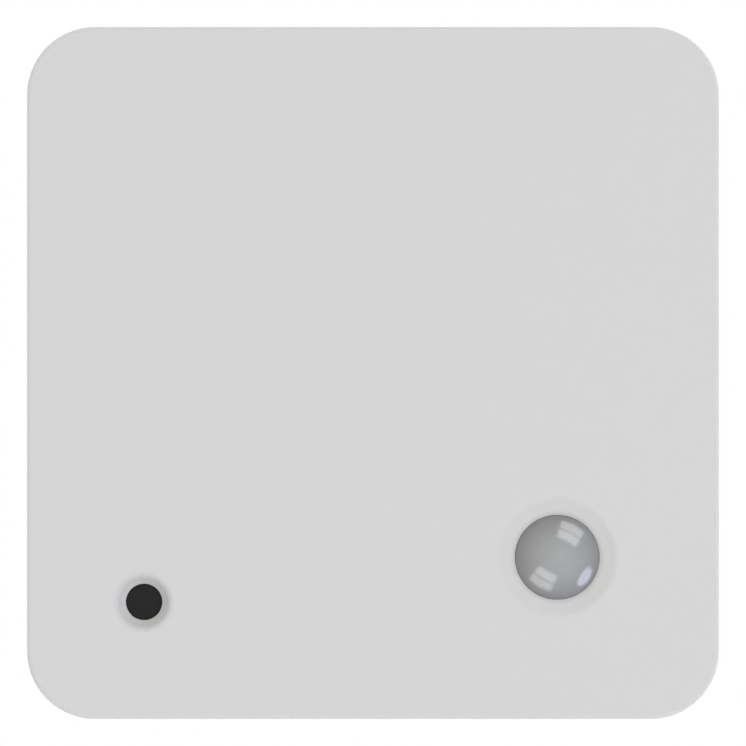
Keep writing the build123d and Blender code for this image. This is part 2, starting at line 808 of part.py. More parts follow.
with BuildPart() as board_capacitors:
    with BuildSketch(wall_plane(board_back)):
        with Locations(controller_place):
            with GridLocations(passive_pitch, row_distance, passives_in_row, 2):
                Rectangle(passive_width, passive_length)
    extrude(amount=-ceramic_height)
save(board_capacitors.part, "board_capacitors")

with BuildPart() as crystal:
    crystal_x = controller_place[0] - (row_distance + passive_length + crystal_width) / 2 - passive_gap
    with BuildSketch(wall_plane(board_back)):
        with Locations((crystal_x, controller_place[1])):
            RectangleRounded(crystal_width, crystal_length, crystal_corner)
    extrude(amount=-crystal_height)
    fillet(crystal.faces().sort_by(Axis.Y)[-1].edges(), crystal_edge_radius)
save(crystal.part, "crystal")

# Radio module: its own small board with half-round edge pads, under a pressed shield
with BuildPart() as radio_board:
    with BuildSketch(wall_plane(board_back)):
        with Locations(radio_place):
            Rectangle(radio_width, radio_height)
            with GridLocations(radio_width, radio_pad_pitch, 2, radio_pad_count):
                Circle(radio_pad_radius, mode=Mode.SUBTRACT)
    extrude(amount=-radio_board_thickness)
save(radio_board.part, "radio_board")

shield_base = board_back - radio_board_thickness
with BuildPart() as radio_shield:
    with BuildSketch(wall_plane(shield_base)):
        with Locations(radio_place):
            RectangleRounded(
                radio_width - 2 * shield_margin,
                radio_height - 2 * shield_margin,
                2 * shield_edge_radius,
            )
    extrude(amount=-shield_rise)
    shield_top = radio_shield.faces().sort_by(Axis.Y)[-1]
    fillet(shield_top.edges(), shield_edge_radius)
    with BuildSketch(wall_plane(shield_base)):
        with Locations(radio_place):
            RectangleRounded(
                radio_width - 2 * (shield_margin + shield_skin),
                radio_height - 2 * (shield_margin + shield_skin),
                2 * shield_edge_radius - shield_skin,
            )
    extrude(amount=-(shield_rise - shield_skin), mode=Mode.SUBTRACT)
    with BuildSketch(wall_plane(shield_base - shield_rise)):
        with Locations(radio_place):
            with GridLocations(shield_hole_pitch, shield_hole_pitch, 3, 3):
                Circle(shield_hole_radius)
    extrude(amount=shield_skin, mode=Mode.SUBTRACT)
save(radio_shield.part, "radio_shield")

# Antenna: a stamped strip that stands on two legs beside the right edge of the board
with BuildPart() as antenna:
    with BuildSketch(Plane(origin=(antenna_x, 0, antenna_end), x_dir=(0, 0, 1), z_dir=(1, 0, 0))):
        strip_low = board_back - antenna_height
        with Locations((0, strip_low)):
            Rectangle(antenna_length, antenna_strip, align=(Align.MIN, Align.MIN))
        for leg in range(2):
            with Locations((leg * antenna_leg_pitch, strip_low)):
                Rectangle(antenna_leg, antenna_height, align=(Align.MIN, Align.MIN))
        with Locations((2 * antenna_leg_pitch, strip_low + antenna_strip / 2)):
            Rectangle(
                antenna_length - 2.5 * antenna_leg_pitch,
                antenna_slot,
                align=(Align.MIN, Align.CENTER),
                mode=Mode.SUBTRACT,
            )
    extrude(amount=antenna_thickness / 2, both=True)
    with BuildSketch(wall_plane(board_back)):
        for leg in range(2):
            with Locations((antenna_x, antenna_end + leg * antenna_leg_pitch)):
                Rectangle(antenna_foot, antenna_leg, align=(Align.MAX, Align.MIN))
    extrude(amount=-antenna_thickness)
save(antenna.part, "antenna")

# Buffer capacitor: a crimped can on a plastic base
with BuildPart() as capacitor_base:
    with BuildSketch(wall_plane(board_back)):
        with Locations(capacitor_place):
            Rectangle(capacitor_base_side, capacitor_base_side)
    extrude(amount=-capacitor_base_height)
    upright = capacitor_base.edges().filter_by(Axis.Y).sort_by(Axis.Z)
    chamfer(upright[-2:], capacitor_base_side / 6)
save(capacitor_base.part, "capacitor_base")

with BuildPart() as buffer_capacitor:
    can_foot = board_back - capacitor_base_height
    can_end = board_back - capacitor_height
    crimp = can_foot - capacitor_crimp_place
    with BuildSketch(turning_plane(*capacitor_place)):
        with BuildLine():
            Polyline(
                (0, can_foot),
                (capacitor_radius, can_foot),
                (capacitor_radius, crimp + capacitor_crimp_half),
                (capacitor_radius - capacitor_crimp_depth, crimp),
                (capacitor_radius, crimp - capacitor_crimp_half),
                (capacitor_radius, can_end + capacitor_bevel),
                (capacitor_radius - capacitor_bevel, can_end),
                (0, can_end),
                close=True,
            )
        make_face()
    revolve(axis=turning_axis(*capacitor_place))
save(buffer_capacitor.part, "buffer_capacitor")

# Service header: a block of two rows, with square pins through the board
with BuildPart() as header_block:
    with BuildSketch(wall_plane(board_back)):
        with Locations(header_place):
            Rectangle(header_columns * header_pitch, header_rows * header_pitch)
        with Locations(*header_places):
            Rectangle(header_pin_side, header_pin_side, mode=Mode.SUBTRACT)
    extrude(amount=-header_base_height)
    left_corners = header_block.edges().filter_by(Axis.Y).sort_by(Axis.X)[:2]
    chamfer(left_corners, header_pitch / 8)
save(header_block.part, "header_block")

with BuildPart() as header_pins:
    with BuildSketch(wall_plane(board_front + header_pin_through)):
        with Locations(*header_places):
            Rectangle(header_pin_side, header_pin_side)
    extrude(amount=-(header_pin_through + board_thickness + header_pin_length))
save(header_pins.part, "header_pins")

# Reset switch: a body, its steel frame and the plunger that travels
switch_top = board_back - switch_body_height
with BuildPart() as switch_body:
    with BuildSketch(wall_plane(board_back)):
        with Locations(switch_place):
            RectangleRounded(switch_side, switch_side, switch_side / 12)
    extrude(amount=-switch_body_height)
    with BuildSketch(wall_plane(switch_top)):
        with Locations(switch_place):
            Circle(plunger_radius + plunger_clearance)
    extrude(amount=plunger_stem_depth + plunger_travel + plunger_clearance, mode=Mode.SUBTRACT)
save(switch_body.part, "switch_body")

with BuildPart() as switch_frame:
    with BuildSketch(wall_plane(switch_top)):
        with Locations(switch_place):
            Rectangle(switch_side, switch_side)
            Circle(plunger_radius + plunger_clearance, mode=Mode.SUBTRACT)
    extrude(amount=-switch_frame_thickness)
    for side in (-1, 1):
        with BuildSketch(wall_plane(board_back)):
            leg_x = switch_place[0] + side * (switch_side + switch_frame_thickness) / 2
            with Locations((leg_x, switch_place[1])):
                with GridLocations(0, switch_side - switch_leg_width, 1, 2):
                    Rectangle(switch_frame_thickness, switch_leg_width)
        extrude(amount=-(switch_body_height + switch_frame_thickness))
save(switch_frame.part, "switch_frame")

with BuildPart() as reset_plunger:
    with BuildSketch(wall_plane(switch_top + plunger_stem_depth)):
        with Locations(switch_place):
            Circle(plunger_radius)
    extrude(amount=-(plunger_stem_depth + switch_frame_thickness + plunger_rise))
    fillet(reset_plunger.edges().sort_by(Axis.Y)[-1], plunger_edge_radius)
save(reset_plunger.part, "reset_plunger")

# The two rows of cells, each laid out from its negative end
spring_end = -bay_length / 2 + terminal_thickness
negative_end = spring_end + spring_length + contact_gap
positive_end = negative_end + cell_length
cap_base = positive_end - cell_cap_length
terminal_back = cell_axis_height + cell_radius
coil_length = spring_length - spring_wire


def row_axis(row):
    return Axis((0, -cell_axis_height, holder_z[row]), (1, 0, 0))


def row_plane(row):
    """A plane through a cell's axis: distance towards the positive end, then distance from the axis."""
    facing = cell_facing[row]
    return Plane(origin=(0, -cell_axis_height, holder_z[row]), x_dir=(facing, 0, 0), z_dir=(0, -facing, 0))


def terminal_outline(row, end):
    """A plane on the inner face of a terminal: across the row, then height from the wall."""
    face_x = end * (bay_length / 2 - terminal_thickness)
    return Plane(origin=(face_x, 0, holder_z[row]), x_dir=(0, 0, end), z_dir=(end, 0, 0))


for row, row_z in holder_z.items():
    # Cell, with the groove near its positive end
    with BuildPart() as cell:
        groove_place = cap_base - 2 * cell_cap_length
        bevel = cell_edge_radius / 3
        with BuildSketch(row_plane(row)):
            with BuildLine():
                Polyline(
                    (negative_end, 0),
                    (negative_end, cell_radius - cell_edge_radius),
                    (negative_end + bevel, cell_radius - bevel),
                    (negative_end + cell_edge_radius, cell_radius),
                    (groove_place - cell_cap_length / 2, cell_radius),
                    (groove_place, cell_radius - cell_groove),
                    (groove_place + cell_cap_length / 2, cell_radius),
                    (cap_base - cell_edge_radius, cell_radius),
                    (cap_base - bevel, cell_radius - bevel),
                    (cap_base, cell_radius - cell_edge_radius),
                    (cap_base, 0),
                    close=True,
                )
            make_face()
        revolve(axis=row_axis(row))
    save(cell.part, f"cell_{row}")

    # Its positive cap
    with BuildPart() as cell_cap:
        with BuildSketch(row_plane(row)):
            with BuildLine():
                Polyline(
                    (cap_base, 0),
                    (cap_base, cell_cap_diameter / 2),
                    (positive_end - cell_cap_length / 4, cell_cap_diameter / 2),
                    (positive_end, cell_cap_diameter / 2 - cell_cap_length / 4),
                    (positive_end, 0),
                    close=True,
                )
            make_face()
        revolve(axis=row_axis(row))
    save(cell_cap.part, f"cell_cap_{row}")

    # Holder: a cradle with end walls, and clips that reach over the cell
    with BuildPart() as cell_holder:
        with BuildSketch(wall_plane(cell_axis_height)):
            with Locations((0, row_z)):
                Rectangle(holder_length, holder_width)
        extrude(amount=board_back - cell_axis_height)
        with BuildSketch(wall_plane(cell_axis_height)):
            with Locations((0, row_z)):
                with GridLocations(bay_length + holder_end, 0, 2, 1):
                    Rectangle(holder_end, holder_width)
        extrude(amount=-holder_end_rise)
        top_corners = cell_holder.edges().filter_by(Axis.X).group_by(Axis.Y)[-1]
        chamfer(top_corners, holder_end)
        with BuildSketch(wall_plane(cell_axis_height)):
            with Locations((0, row_z)):
                with GridLocations(2 * holder_clip_place, 0, 2, 1):
                    Rectangle(holder_clip_width, holder_width)
        extrude(amount=-holder_clip_rise)
        with BuildSketch(Plane(origin=(0, -cell_axis_height, row_z), x_dir=(0, 0, 1), z_dir=(1, 0, 0))):
            Circle(cell_radius + cell_float)
        extrude(amount=bay_length / 2, both=True, mode=Mode.SUBTRACT)
        # Pockets for the terminals at both ends, slots for their tails, and the cut for a finger
        pocket_length = terminal_thickness + terminal_pocket_clearance
        with BuildSketch(wall_plane(cell_axis_height)):
            with Locations((0, row_z)):
                with GridLocations(bay_length - pocket_length, 0, 2, 1):
                    Rectangle(pocket_length, terminal_width + 2 * terminal_pocket_clearance)
        extrude(amount=cell_radius + cell_float, mode=Mode.SUBTRACT)
        with BuildSketch(wall_plane(board_back)):
            with Locations((0, row_z)):
                with GridLocations(bay_length - pocket_length, 0, 2, 1):
                    Rectangle(pocket_length, terminal_tail_width + 2 * terminal_pocket_clearance)
        extrude(amount=-2 * holder_floor, mode=Mode.SUBTRACT)
        with BuildSketch(wall_plane(cell_axis_height)):
            with Locations((0, row_z)):
                Rectangle(finger_cut_length, 2 * holder_width)
        extrude(amount=finger_cut_depth, mode=Mode.SUBTRACT)
        with BuildSketch(wall_plane(board_back)):
            with Locations((0, row_z)):
                with GridLocations(2 * holder_peg_place, 0, 2, 1):
                    Circle(holder_peg_radius)
        extrude(amount=board_thickness)
        peg_ends = cell_holder.faces().group_by(Axis.Y)[0].edges()
        chamfer(peg_ends, holder_peg_radius / 4)
    save(cell_holder.part, f"cell_holder_{row}")

    # Terminals, with tails soldered through the board; the positive one has a dimple
    for pole, end in (("negative", -cell_facing[row]), ("positive", cell_facing[row])):
        with BuildPart() as terminal:
            with BuildSketch(terminal_outline(row, end)):
                with Locations((0, terminal_back)):
                    RectangleRounded(
                        terminal_width,
                        cell_radius + terminal_rise,
                        terminal_width / 8,
                        align=(Align.CENTER, Align.MAX),
                    )
                with Locations((0, cell_axis_height)):
                    Rectangle(
                        terminal_tail_width,
                        board_front + terminal_tail_length - cell_axis_height,
                        align=(Align.CENTER, Align.MIN),
                    )
            extrude(amount=terminal_thickness)
            if pole == "positive":
                dimple_base = bay_length / 2 - terminal_thickness
                with BuildSketch(row_plane(row)):
                    with BuildLine():
                        Polyline(
                            (dimple_base, 0),
                            (dimple_base, terminal_dimple_radius),
                            (dimple_base - terminal_dimple_rise, terminal_dimple_radius / 2),
                            (dimple_base - terminal_dimple_rise, 0),
                            close=True,
                        )
                    make_face()
                revolve(axis=row_axis(row))
        save(terminal.part, f"{pole}_terminal_{row}")

    # Spring on the negative terminal
    coil_start = Vector(cell_facing[row] * (spring_end + spring_wire / 2), -cell_axis_height, row_z)
    coil_way = Vector(cell_facing[row], 0, 0)
    with BuildPart() as cell_spring:
        with BuildLine() as coil:
            for step in range(int(spring_turns * steps_per_turn)):
                add_biarc(
                    *coil_point(coil_start, coil_way, coil_length, step),
                    *coil_point(coil_start, coil_way, coil_length, step + 1),
                )
        wire_start, wire_way = coil_point(coil_start, coil_way, coil_length, 0)
        with BuildSketch(Plane(wire_start, z_dir=wire_way)):
            RegularPolygon(spring_wire / 2, wire_sides)
        sweep(path=coil.wires()[0])
    save(cell_spring.part, f"cell_spring_{row}")
    wire_section = wire_sides / 2 * (spring_wire / 2) ** 2 * math.sin(2 * math.pi / wire_sides)
    wire_volume = wire_section * coil.wires()[0].length
    turn_gap = math.hypot(coil_length, spring_base_radius - spring_tip_radius) / spring_turns - spring_wire
    print("spring volume over its wire's", round(cell_spring.part.volume / wire_volume, 4))
    print("least gap between its turns", round(turn_gap, 2))

print("housing depth", round(housing_depth, 2), "overall depth", round(dome_base + dome_rise, 2))
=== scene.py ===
"""Looks of a wall-mounted multi-purpose room sensor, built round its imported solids.

Metres. X runs to the right as seen from the room, Z runs up the wall, and the room is on the -Y
side. A height is a distance from the wall into the room.
"""

import math
from functools import reduce

import bmesh
import bpy
from bpy.props import FloatProperty, FloatVectorProperty, IntProperty, PointerProperty
from bpy.types import NodeSocket, Operator, Panel, PropertyGroup
from mathutils import Matrix, Vector


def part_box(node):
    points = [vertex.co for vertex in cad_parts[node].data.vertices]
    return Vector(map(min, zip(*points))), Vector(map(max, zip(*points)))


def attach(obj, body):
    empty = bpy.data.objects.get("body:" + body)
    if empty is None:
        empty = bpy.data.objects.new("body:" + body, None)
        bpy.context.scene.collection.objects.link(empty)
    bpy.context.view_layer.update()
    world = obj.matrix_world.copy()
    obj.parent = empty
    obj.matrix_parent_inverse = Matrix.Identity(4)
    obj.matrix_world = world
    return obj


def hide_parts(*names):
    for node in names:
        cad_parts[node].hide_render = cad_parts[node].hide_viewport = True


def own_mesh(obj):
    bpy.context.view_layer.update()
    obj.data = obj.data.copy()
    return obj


bl_info = {
    "name": "Room sensor",
    "version": (1, 0, 0),
    "blender": (4, 5, 0),
    "location": "View3D > Sidebar > Room sensor",
    "description": "Gives the solids of a wall-mounted room sensor their looks and small details",
    "category": "Object",
}

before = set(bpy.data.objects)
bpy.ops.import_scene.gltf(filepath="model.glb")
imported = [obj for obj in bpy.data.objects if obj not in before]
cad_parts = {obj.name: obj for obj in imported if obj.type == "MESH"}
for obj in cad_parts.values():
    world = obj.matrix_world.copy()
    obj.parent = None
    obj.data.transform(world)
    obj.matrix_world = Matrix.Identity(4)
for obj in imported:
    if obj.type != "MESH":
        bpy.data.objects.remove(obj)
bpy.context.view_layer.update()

MM = 0.001
FRONT_UNIT = "front_unit"
FACING_ROOM = Matrix(((1, 0, 0, 0), (0, 0, -1, 0), (0, 1, 0, 0), (0, 0, 0, 1)))
ON_AXIS = Matrix.Identity(4)
CORNERS = ((-1, -1), (1, -1), (1, 1), (-1, 1))
SUNK = 0.05 * MM  # how far a print or a foot reaches into the board under it
# On the board, in millimetres
PIN_PITCH = 2.54
CHIP_PITCH = 1.8
TEST_PADS_X = [-26.0 + 3.2 * column for column in range(5)]

WHITE = (1.0, 1.0, 1.0)
COOL = (0.52, 0.62, 1.0)
WARM = (1.0, 0.95, 0.86)
# Name, place, side of the square, level, tint
ROOM_LAMPS = (
    ("Front_lamp", (0.36, -3.0, -0.04), 1.0, 0.7065, (1.0, 0.986, 0.944)),
    ("Right_lamp", (1.8, -1.5, -0.7), 1.0, 0.18, COOL),
    ("Left_lamp", (-0.95, -0.7, 0.35), 0.5, 0.04, WARM),
    ("Right_side_lamp", (1.4, 0.3, 0.1), 0.5, 0.33, WHITE),
    ("Left_side_lamp", (-1.4, 0.3, 0.1), 0.5, 0.36, WHITE),
    ("Top_lamp", (0.1, 0.3, 1.5), 0.5, 0.4, WHITE),
    ("Low_lamp", (0.2, 0.25, -1.4), 0.5, 0.38, WHITE),
    ("Back_lamp", (-0.3, 1.6, 0.35), 0.8, 0.6, WHITE),
)
# Shape, names, place, direction of its width, size, half the space between a pair, level, tint
LENS_LAMPS = (
    (
        "RECTANGLE", ("Upper_box_a", "Upper_box_b"),
        (0.285, -0.342, 0.4185), (0.874, 0.05, -0.483), (0.466, 0.211), 0.1165, 5.0, WHITE,
    ),
    (
        "RECTANGLE", ("Lower_box_a", "Lower_box_b"),
        (-0.2215, -0.369, -0.4545), (0.879, 0.005, -0.478), (0.46, 0.21), 0.1215, 4.55, WHITE,
    ),
    (
        "ELLIPSE", ("Side_glow",),
        (0.499, -0.171, -0.365), (0.543, -0.159, 0.825), (0.36, 0.26), 0.0, 7.0, (0.74, 0.77, 1.0),
    ),
)


# Sizes and colours a user would change

def length_of(name, description, default):
    return FloatProperty(
        name=name, description=description, default=default, min=0.0, unit="LENGTH", precision=5
    )


def share_of(name, description, default):
    return FloatProperty(
        name=name, description=description, default=default, min=0.0, max=1.0, subtype="FACTOR"
    )


def number_of(name, description, default, least=0.0):
    return FloatProperty(name=name, description=description, default=default, min=least)


def colour_of(name, description, default):
    return FloatVectorProperty(
        name=name, description=description, default=default, min=0.0, max=1.0, subtype="COLOR"
    )


class CoverSettings(PropertyGroup):
    cover: colour_of("Cover", "Colour of the moulded front cover", (0.68, 0.68, 0.68))
    plate: colour_of("Plate", "Colour of the wall plate and its snap arms", (0.62, 0.62, 0.615))
    roughness: share_of("Roughness", "Roughness of the cover's satin face", 0.46)
    grain: length_of("Grain", "Size of a grain of the moulding texture", 0.00022)


class LensSettings(PropertyGroup):
    middle: colour_of("Middle", "Colour of the lens at its top", (0.373, 0.379, 0.387))
    # The rim colour is painted shade: darker where the dome turns away from the light
    shaded_rim: colour_of("Rim", "Colour of the lens at its rim", (0.255, 0.26, 0.265))
    window: colour_of("Window", "Colour of the light window", (0.0085, 0.0085, 0.0095))
    radius: length_of("Radius", "Radius of the lens where it leaves the cover", 0.0052)
    rise: length_of("Rise", "How far the dome stands out from its foot", 0.00228)
    skin: length_of("Skin", "Thickness of the lens", 0.0006)
    rings: IntProperty(
        name="Rings", description="Stepped rings inside the lens", default=5, min=1, max=12
    )


class BoardSettings(PropertyGroup):
    mask: colour_of("Mask", "Colour of the solder mask over copper", (0.012, 0.115, 0.045))
    gap: colour_of("Gap", "Colour of the solder mask between copper areas", (0.006, 0.05, 0.022))
    ink: colour_of("Ink", "Colour of the printed outlines", (0.72, 0.72, 0.7))
    track: length_of("Track", "Width of a signal track", 0.00034)
    power_track: length_of("Power track", "Width of a power track", 0.0014)


class CellSettings(PropertyGroup):
    sleeve: colour_of("Sleeve", "Colour of the shrink sleeve", (0.035, 0.09, 0.17))
    band: colour_of("Band", "Colour of the band at the positive end", (0.55, 0.56, 0.58))
    mark: colour_of("Mark", "Colour of the plus and minus marks", (0.75, 0.75, 0.75))


class StageSettings(PropertyGroup):
    focal_length: number_of("Focal length", "Focal length in millimetres", 200.0, least=1.0)
    distance: length_of("Distance", "From the wall plane to the camera", 0.5377)
    floor_drop: length_of("Floor drop", "From the middle of the sensor down to the floor", 0.1)
    ambient: share_of("Ambient", "Level of the even light from all round", 0.2)
    lamps: number_of("Lamps", "Level of all lamps, as a share of their own", 1.0)


# Meshes

def centre_of(node):
    low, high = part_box(node)
    return (low + high) / 2


def on_wall(x, z, height=0.0):
    """A place with its own axes: right, up, and out of the wall."""
    return Matrix.Translation((x, -height, z)) @ FACING_ROOM


def loft(mesh, loops, closed=False):
    """Joins loops of points into a skin, with its two ends capped unless it closes on itself."""
    rows = [[mesh.verts.new(point) for point in loop] for loop in loops]
    for row, following in zip(rows, rows[1:] + rows[:1] * closed):
        for index, corner in enumerate(row):
            after = (index + 1) % len(row)
            mesh.faces.new((corner, row[after], following[after], following[index]))
    if not closed:
        mesh.faces.new(rows[0][::-1])
        mesh.faces.new(rows[-1])


def turned(mesh, profile, place, sides=48):
    """A turned form from its profile, a closed line of (radius, height)."""
    loops = []
    for index in range(sides):
        angle = 2 * math.pi * index / sides
        way = Vector((math.cos(angle), math.sin(angle), 0))
        spots = [way * radius + Vector((0, 0, height)) for radius, height in profile]
        loops.append([place @ spot for spot in spots])
    loft(mesh, loops, closed=True)


def slab(mesh, outline, low, high):
    """A flat piece with an outline, between two heights."""
    loops = [[Vector((x, z, height)) for x, z in outline] for height in (low, high)]
    loft(mesh, [[FACING_ROOM @ spot for spot in loop] for loop in loops])


def block(mesh, x, z, width, height, low, high):
    slab(mesh, [(x + i * width / 2, z + j * height / 2) for i, j in CORNERS], low, high)


def ring(mesh, x, z, outer, inner, low, high, sides=32):
    """A flat ring, or a disc where the inner radius is nought."""
    turned(mesh, [(inner, low), (outer, low), (outer, high), (inner, high)], on_wall(x, z), sides)


def ribbon(mesh, points, width, low, high):
    """A flat strip along a line of points, with mitred corners."""
    line = [Vector(point) for point in points]
    loops = []
    for index, point in enumerate(line):
        before = max(index - 1, 0)
        steps = zip(line[before:], line[before + 1:index + 2])
        ways = [(end - start).normalized() for start, end in steps]
        way = sum(ways, Vector((0, 0))).normalized()
        side = Vector((-way.y, way.x)) * width / 2 / max(way.dot(ways[0]), 0.5)
        left, right = point + side, point - side
        corners = ((left, low), (left, high), (right, high), (right, low))
        loops.append([FACING_ROOM @ Vector((*spot, height)) for spot, height in corners])
    loft(mesh, loops)


def frame_line(mesh, x, z, width, height, line, low, high):
    """A thin rectangular outline, as printed round a part on the board."""
    loops = []
    for i, j in CORNERS:
        inner, outer = (
            (x + i * (width + side) / 2, z + j * (height + side) / 2) for side in (-line, line)
        )
        corners = ((inner, low), (outer, low), (outer, high), (inner, high))
        loops.append([FACING_ROOM @ Vector((*spot, level)) for spot, level in corners])
    loft(mesh, loops, closed=True)


def plus_sign(mesh, x, z, reach, bar, low, high):
    """A plus sign in one piece."""
    arm = [(-bar, -reach), (bar, -reach), (bar, -bar)]
    outline = []
    for _ in range(4):
        outline += [(x + i / 2, z + j / 2) for i, j in arm]
        arm = [(-j, i) for i, j in arm]
    slab(mesh, outline, low, high)


def wire(mesh, points, radius, sides):
    """A round wire along a line of points."""
    angles = [2 * math.pi * turn / sides for turn in range(sides)]
    loops = []
    side = None
    for index, point in enumerate(points):
        way = (points[min(index + 1, len(points) - 1)] - points[max(index - 1, 0)]).normalized()
        side = way.orthogonal() if side is None else side - way * side.dot(way)
        side.normalize()
        other = way.cross(side)
        round_point = [math.cos(angle) * side + math.sin(angle) * other for angle in angles]
        loops.append([point + radius * out for out in round_point])
    loft(mesh, loops)


def piece(name, body, material, build, replaces=(), sharp=35.0, place=None, edge=0.0):
    """Makes an object from a building function, and rides it on its body."""
    mesh = bmesh.new()
    build(mesh)
    bmesh.ops.remove_doubles(mesh, verts=mesh.verts, dist=1e-8)
    bmesh.ops.recalc_face_normals(mesh, faces=mesh.faces)
    for face in mesh.faces:
        face.smooth = True
    for seam in mesh.edges:
        if len(seam.link_faces) != 2 or seam.calc_face_angle() > math.radians(sharp):
            seam.smooth = False
    data = bpy.data.meshes.new(name)
    mesh.to_mesh(data)
    mesh.free()
    data.materials.append(material)
    made = bpy.data.objects.new(name, data)
    bpy.context.scene.collection.objects.link(made)
    if place is not None:
        made.matrix_world = place
    if edge:
        rounding = made.modifiers.new("Rounded edges", "BEVEL")
        rounding.width = edge
        rounding.segments = 2
        rounding.limit_method = "ANGLE"
        rounding.harden_normals = True
    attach(made, body)
    if replaces:
        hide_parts(*replaces)
    return made


def dress(material, *nodes):
    """Gives solids their material."""
    for node in nodes:
        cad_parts[node].material_slots[0].material = material


# Materials: nodes

def feed(tree, node, inputs):
    """Links each input of a node to a socket, or sets it to a value."""
    for key, value in inputs.items():
        if isinstance(value, NodeSocket):
            tree.links.new(value, node.inputs[key])
        else:
            node.inputs[key].default_value = value


def add_node(tree, kind, inputs=(), **settings):
    """Adds a shader node with its settings and inputs."""
    made = tree.nodes.new("ShaderNode" + kind)
    for key, value in settings.items():
        setattr(made, key, value)
    feed(tree, made, dict(inputs))
    return made


def maths(tree, operation, *values, clamp=False):
    inputs = enumerate(values)
    return add_node(tree, "Math", inputs, operation=operation, use_clamp=clamp).outputs[0]


def joined(tree, operation, values):
    """Takes the same operation through all the values."""
    return reduce(lambda whole, value: maths(tree, operation, whole, value), values)


def vector_maths(tree, operation, *values):
    """A vector operation, with the output that it fills."""
    number_out = operation in ("LENGTH", "DOT_PRODUCT")
    made = add_node(tree, "VectorMath", enumerate(values), operation=operation)
    return made.outputs["Value" if number_out else "Vector"]


def ranged(tree, value, low, high, to_low, to_high, smooth=False):
    """Maps a value from one range to another, held at its ends."""
    inputs = {"Value": value, "From Min": low, "From Max": high}
    inputs |= {"To Min": to_low, "To Max": to_high}
    kind = "SMOOTHSTEP" if smooth else "LINEAR"
    return add_node(tree, "MapRange", inputs, interpolation_type=kind).outputs[0]


def varied(tree, field, low, high):
    """Spreads the middle of a noise over a range."""
    return ranged(tree, field, 0.3, 0.7, low, high)


def rgba(value):
    return value if isinstance(value, NodeSocket) else (*value, 1.0)


def blended(tree, factor, first, second):
    """Mixes two colours by a factor."""
    inputs = {0: factor, 6: rgba(first), 7: rgba(second)}
    return add_node(tree, "Mix", inputs, data_type="RGBA").outputs[2]


def paler(colour, lift):
    return [min(part * lift, 1.0) for part in colour]


def object_place(tree):
    return add_node(tree, "TexCoord").outputs["Object"]


def noise(tree, per_metre, detail, place=None):
    inputs = {"Vector": place or object_place(tree), "Scale": per_metre, "Detail": detail}
    return add_node(tree, "TexNoise", inputs).outputs["Fac"]


def grains(tree, size, detail, place=None):
    """Noise whose grains have a size, from a group's input."""
    return noise(tree, maths(tree, "DIVIDE", 1.0, size), detail, place)


def split(tree, vector):
    return add_node(tree, "SeparateXYZ", {0: vector}).outputs


def facing(tree, axis):
    """How far the surface faces along an axis, from -1 to 1."""
    return split(tree, add_node(tree, "NewGeometry").outputs["Normal"])[axis]


# Effects that several materials share

def effect_group(name, *outputs, **inputs):
    """Starts a node group with its outputs, and inputs with their usual values."""
    tree = bpy.data.node_groups.new(name, "ShaderNodeTree")

    def socket(label, way):
        kind = "NodeSocketColor" if label == "Color" else "NodeSocketFloat"
        return tree.interface.new_socket(name=label, in_out=way, socket_type=kind)

    for label, value in inputs.items():
        socket(label, "INPUT").default_value = value
    for label in outputs:
        socket(label, "OUTPUT")
    given, out = tree.nodes.new("NodeGroupInput"), tree.nodes.new("NodeGroupOutput")
    return tree, given.outputs, out.inputs


def moulding_grain():
    tree, given, out = effect_group("Moulding grain", "Height", "Waves", Grain=0.0002, Wave=0.012)
    tree.links.new(grains(tree, given["Grain"], 3.0), out["Height"])
    tree.links.new(grains(tree, given["Wave"], 2.0), out["Waves"])


def uneven_tone():
    grey = (0.5, 0.5, 0.5, 1.0)
    tree, given, out = effect_group("Uneven tone", "Color", Color=grey, Amount=0.05, Patch=0.01)
    patches = maths(tree, "SUBTRACT", grains(tree, given["Patch"], 4.0), 0.5)
    swing = maths(tree, "MULTIPLY", patches, given["Amount"])
    value = maths(tree, "MULTIPLY_ADD", swing, 2.0, 1.0)
    toned_colour = add_node(tree, "HueSaturation", {"Color": given["Color"], "Value": value})
    tree.links.new(toned_colour.outputs[0], out["Color"])


def rubbed_edges():
    tree, given, out = effect_group("Rubbed edges", "Mask", Radius=0.0002, Amount=0.5, Patch=0.002)
    rounded = add_node(tree, "Bevel", {"Radius": given["Radius"]}, samples=4).outputs[0]
    true = add_node(tree, "NewGeometry").outputs["Normal"]
    edge = ranged(tree, vector_maths(tree, "DOT_PRODUCT", rounded, true), 0.995, 0.9, 0.0, 1.0)
    patches = ranged(tree, grains(tree, given["Patch"], 4.0), 0.35, 0.65, 0.2, 1.0)
    tree.links.new(joined(tree, "MULTIPLY", (edge, patches, given["Amount"])), out["Mask"])


def settled_dust():
    tree, given, out = effect_group("Settled dust", "Mask", Cover=0.1, Speck=0.0004)
    up = ranged(tree, facing(tree, "Z"), 0.3, 0.95, 0.0, 1.0)
    lying = ranged(tree, grains(tree, given["Speck"], 4.0), 0.45, 0.7, 0.0, 1.0)
    tree.links.new(joined(tree, "MULTIPLY", (up, lying, given["Cover"])), out["Mask"])


def fine_scratches():
    tree, given, out = effect_group("Fine scratches", "Mask", Spacing=0.004, Share=0.5)
    lines = []
    for angle in (0.35, 1.3, 2.4):
        inputs = {"Vector": object_place(tree), "Axis": (0.3, 1.0, 0.2), "Angle": angle}
        place = add_node(tree, "VectorRotate", inputs, rotation_type="AXIS_ANGLE").outputs[0]
        drawn_out = vector_maths(tree, "MULTIPLY", place, (1.0, 1.0, 28.0))
        field = grains(tree, given["Spacing"], 1.0, drawn_out)
        near = maths(tree, "ABSOLUTE", maths(tree, "SUBTRACT", field, 0.62))
        lines.append(ranged(tree, near, 0.0, 0.012, 1.0, 0.0))
    shown = maths(tree, "MULTIPLY", joined(tree, "MAXIMUM", lines), given["Share"])
    tree.links.new(shown, out["Mask"])


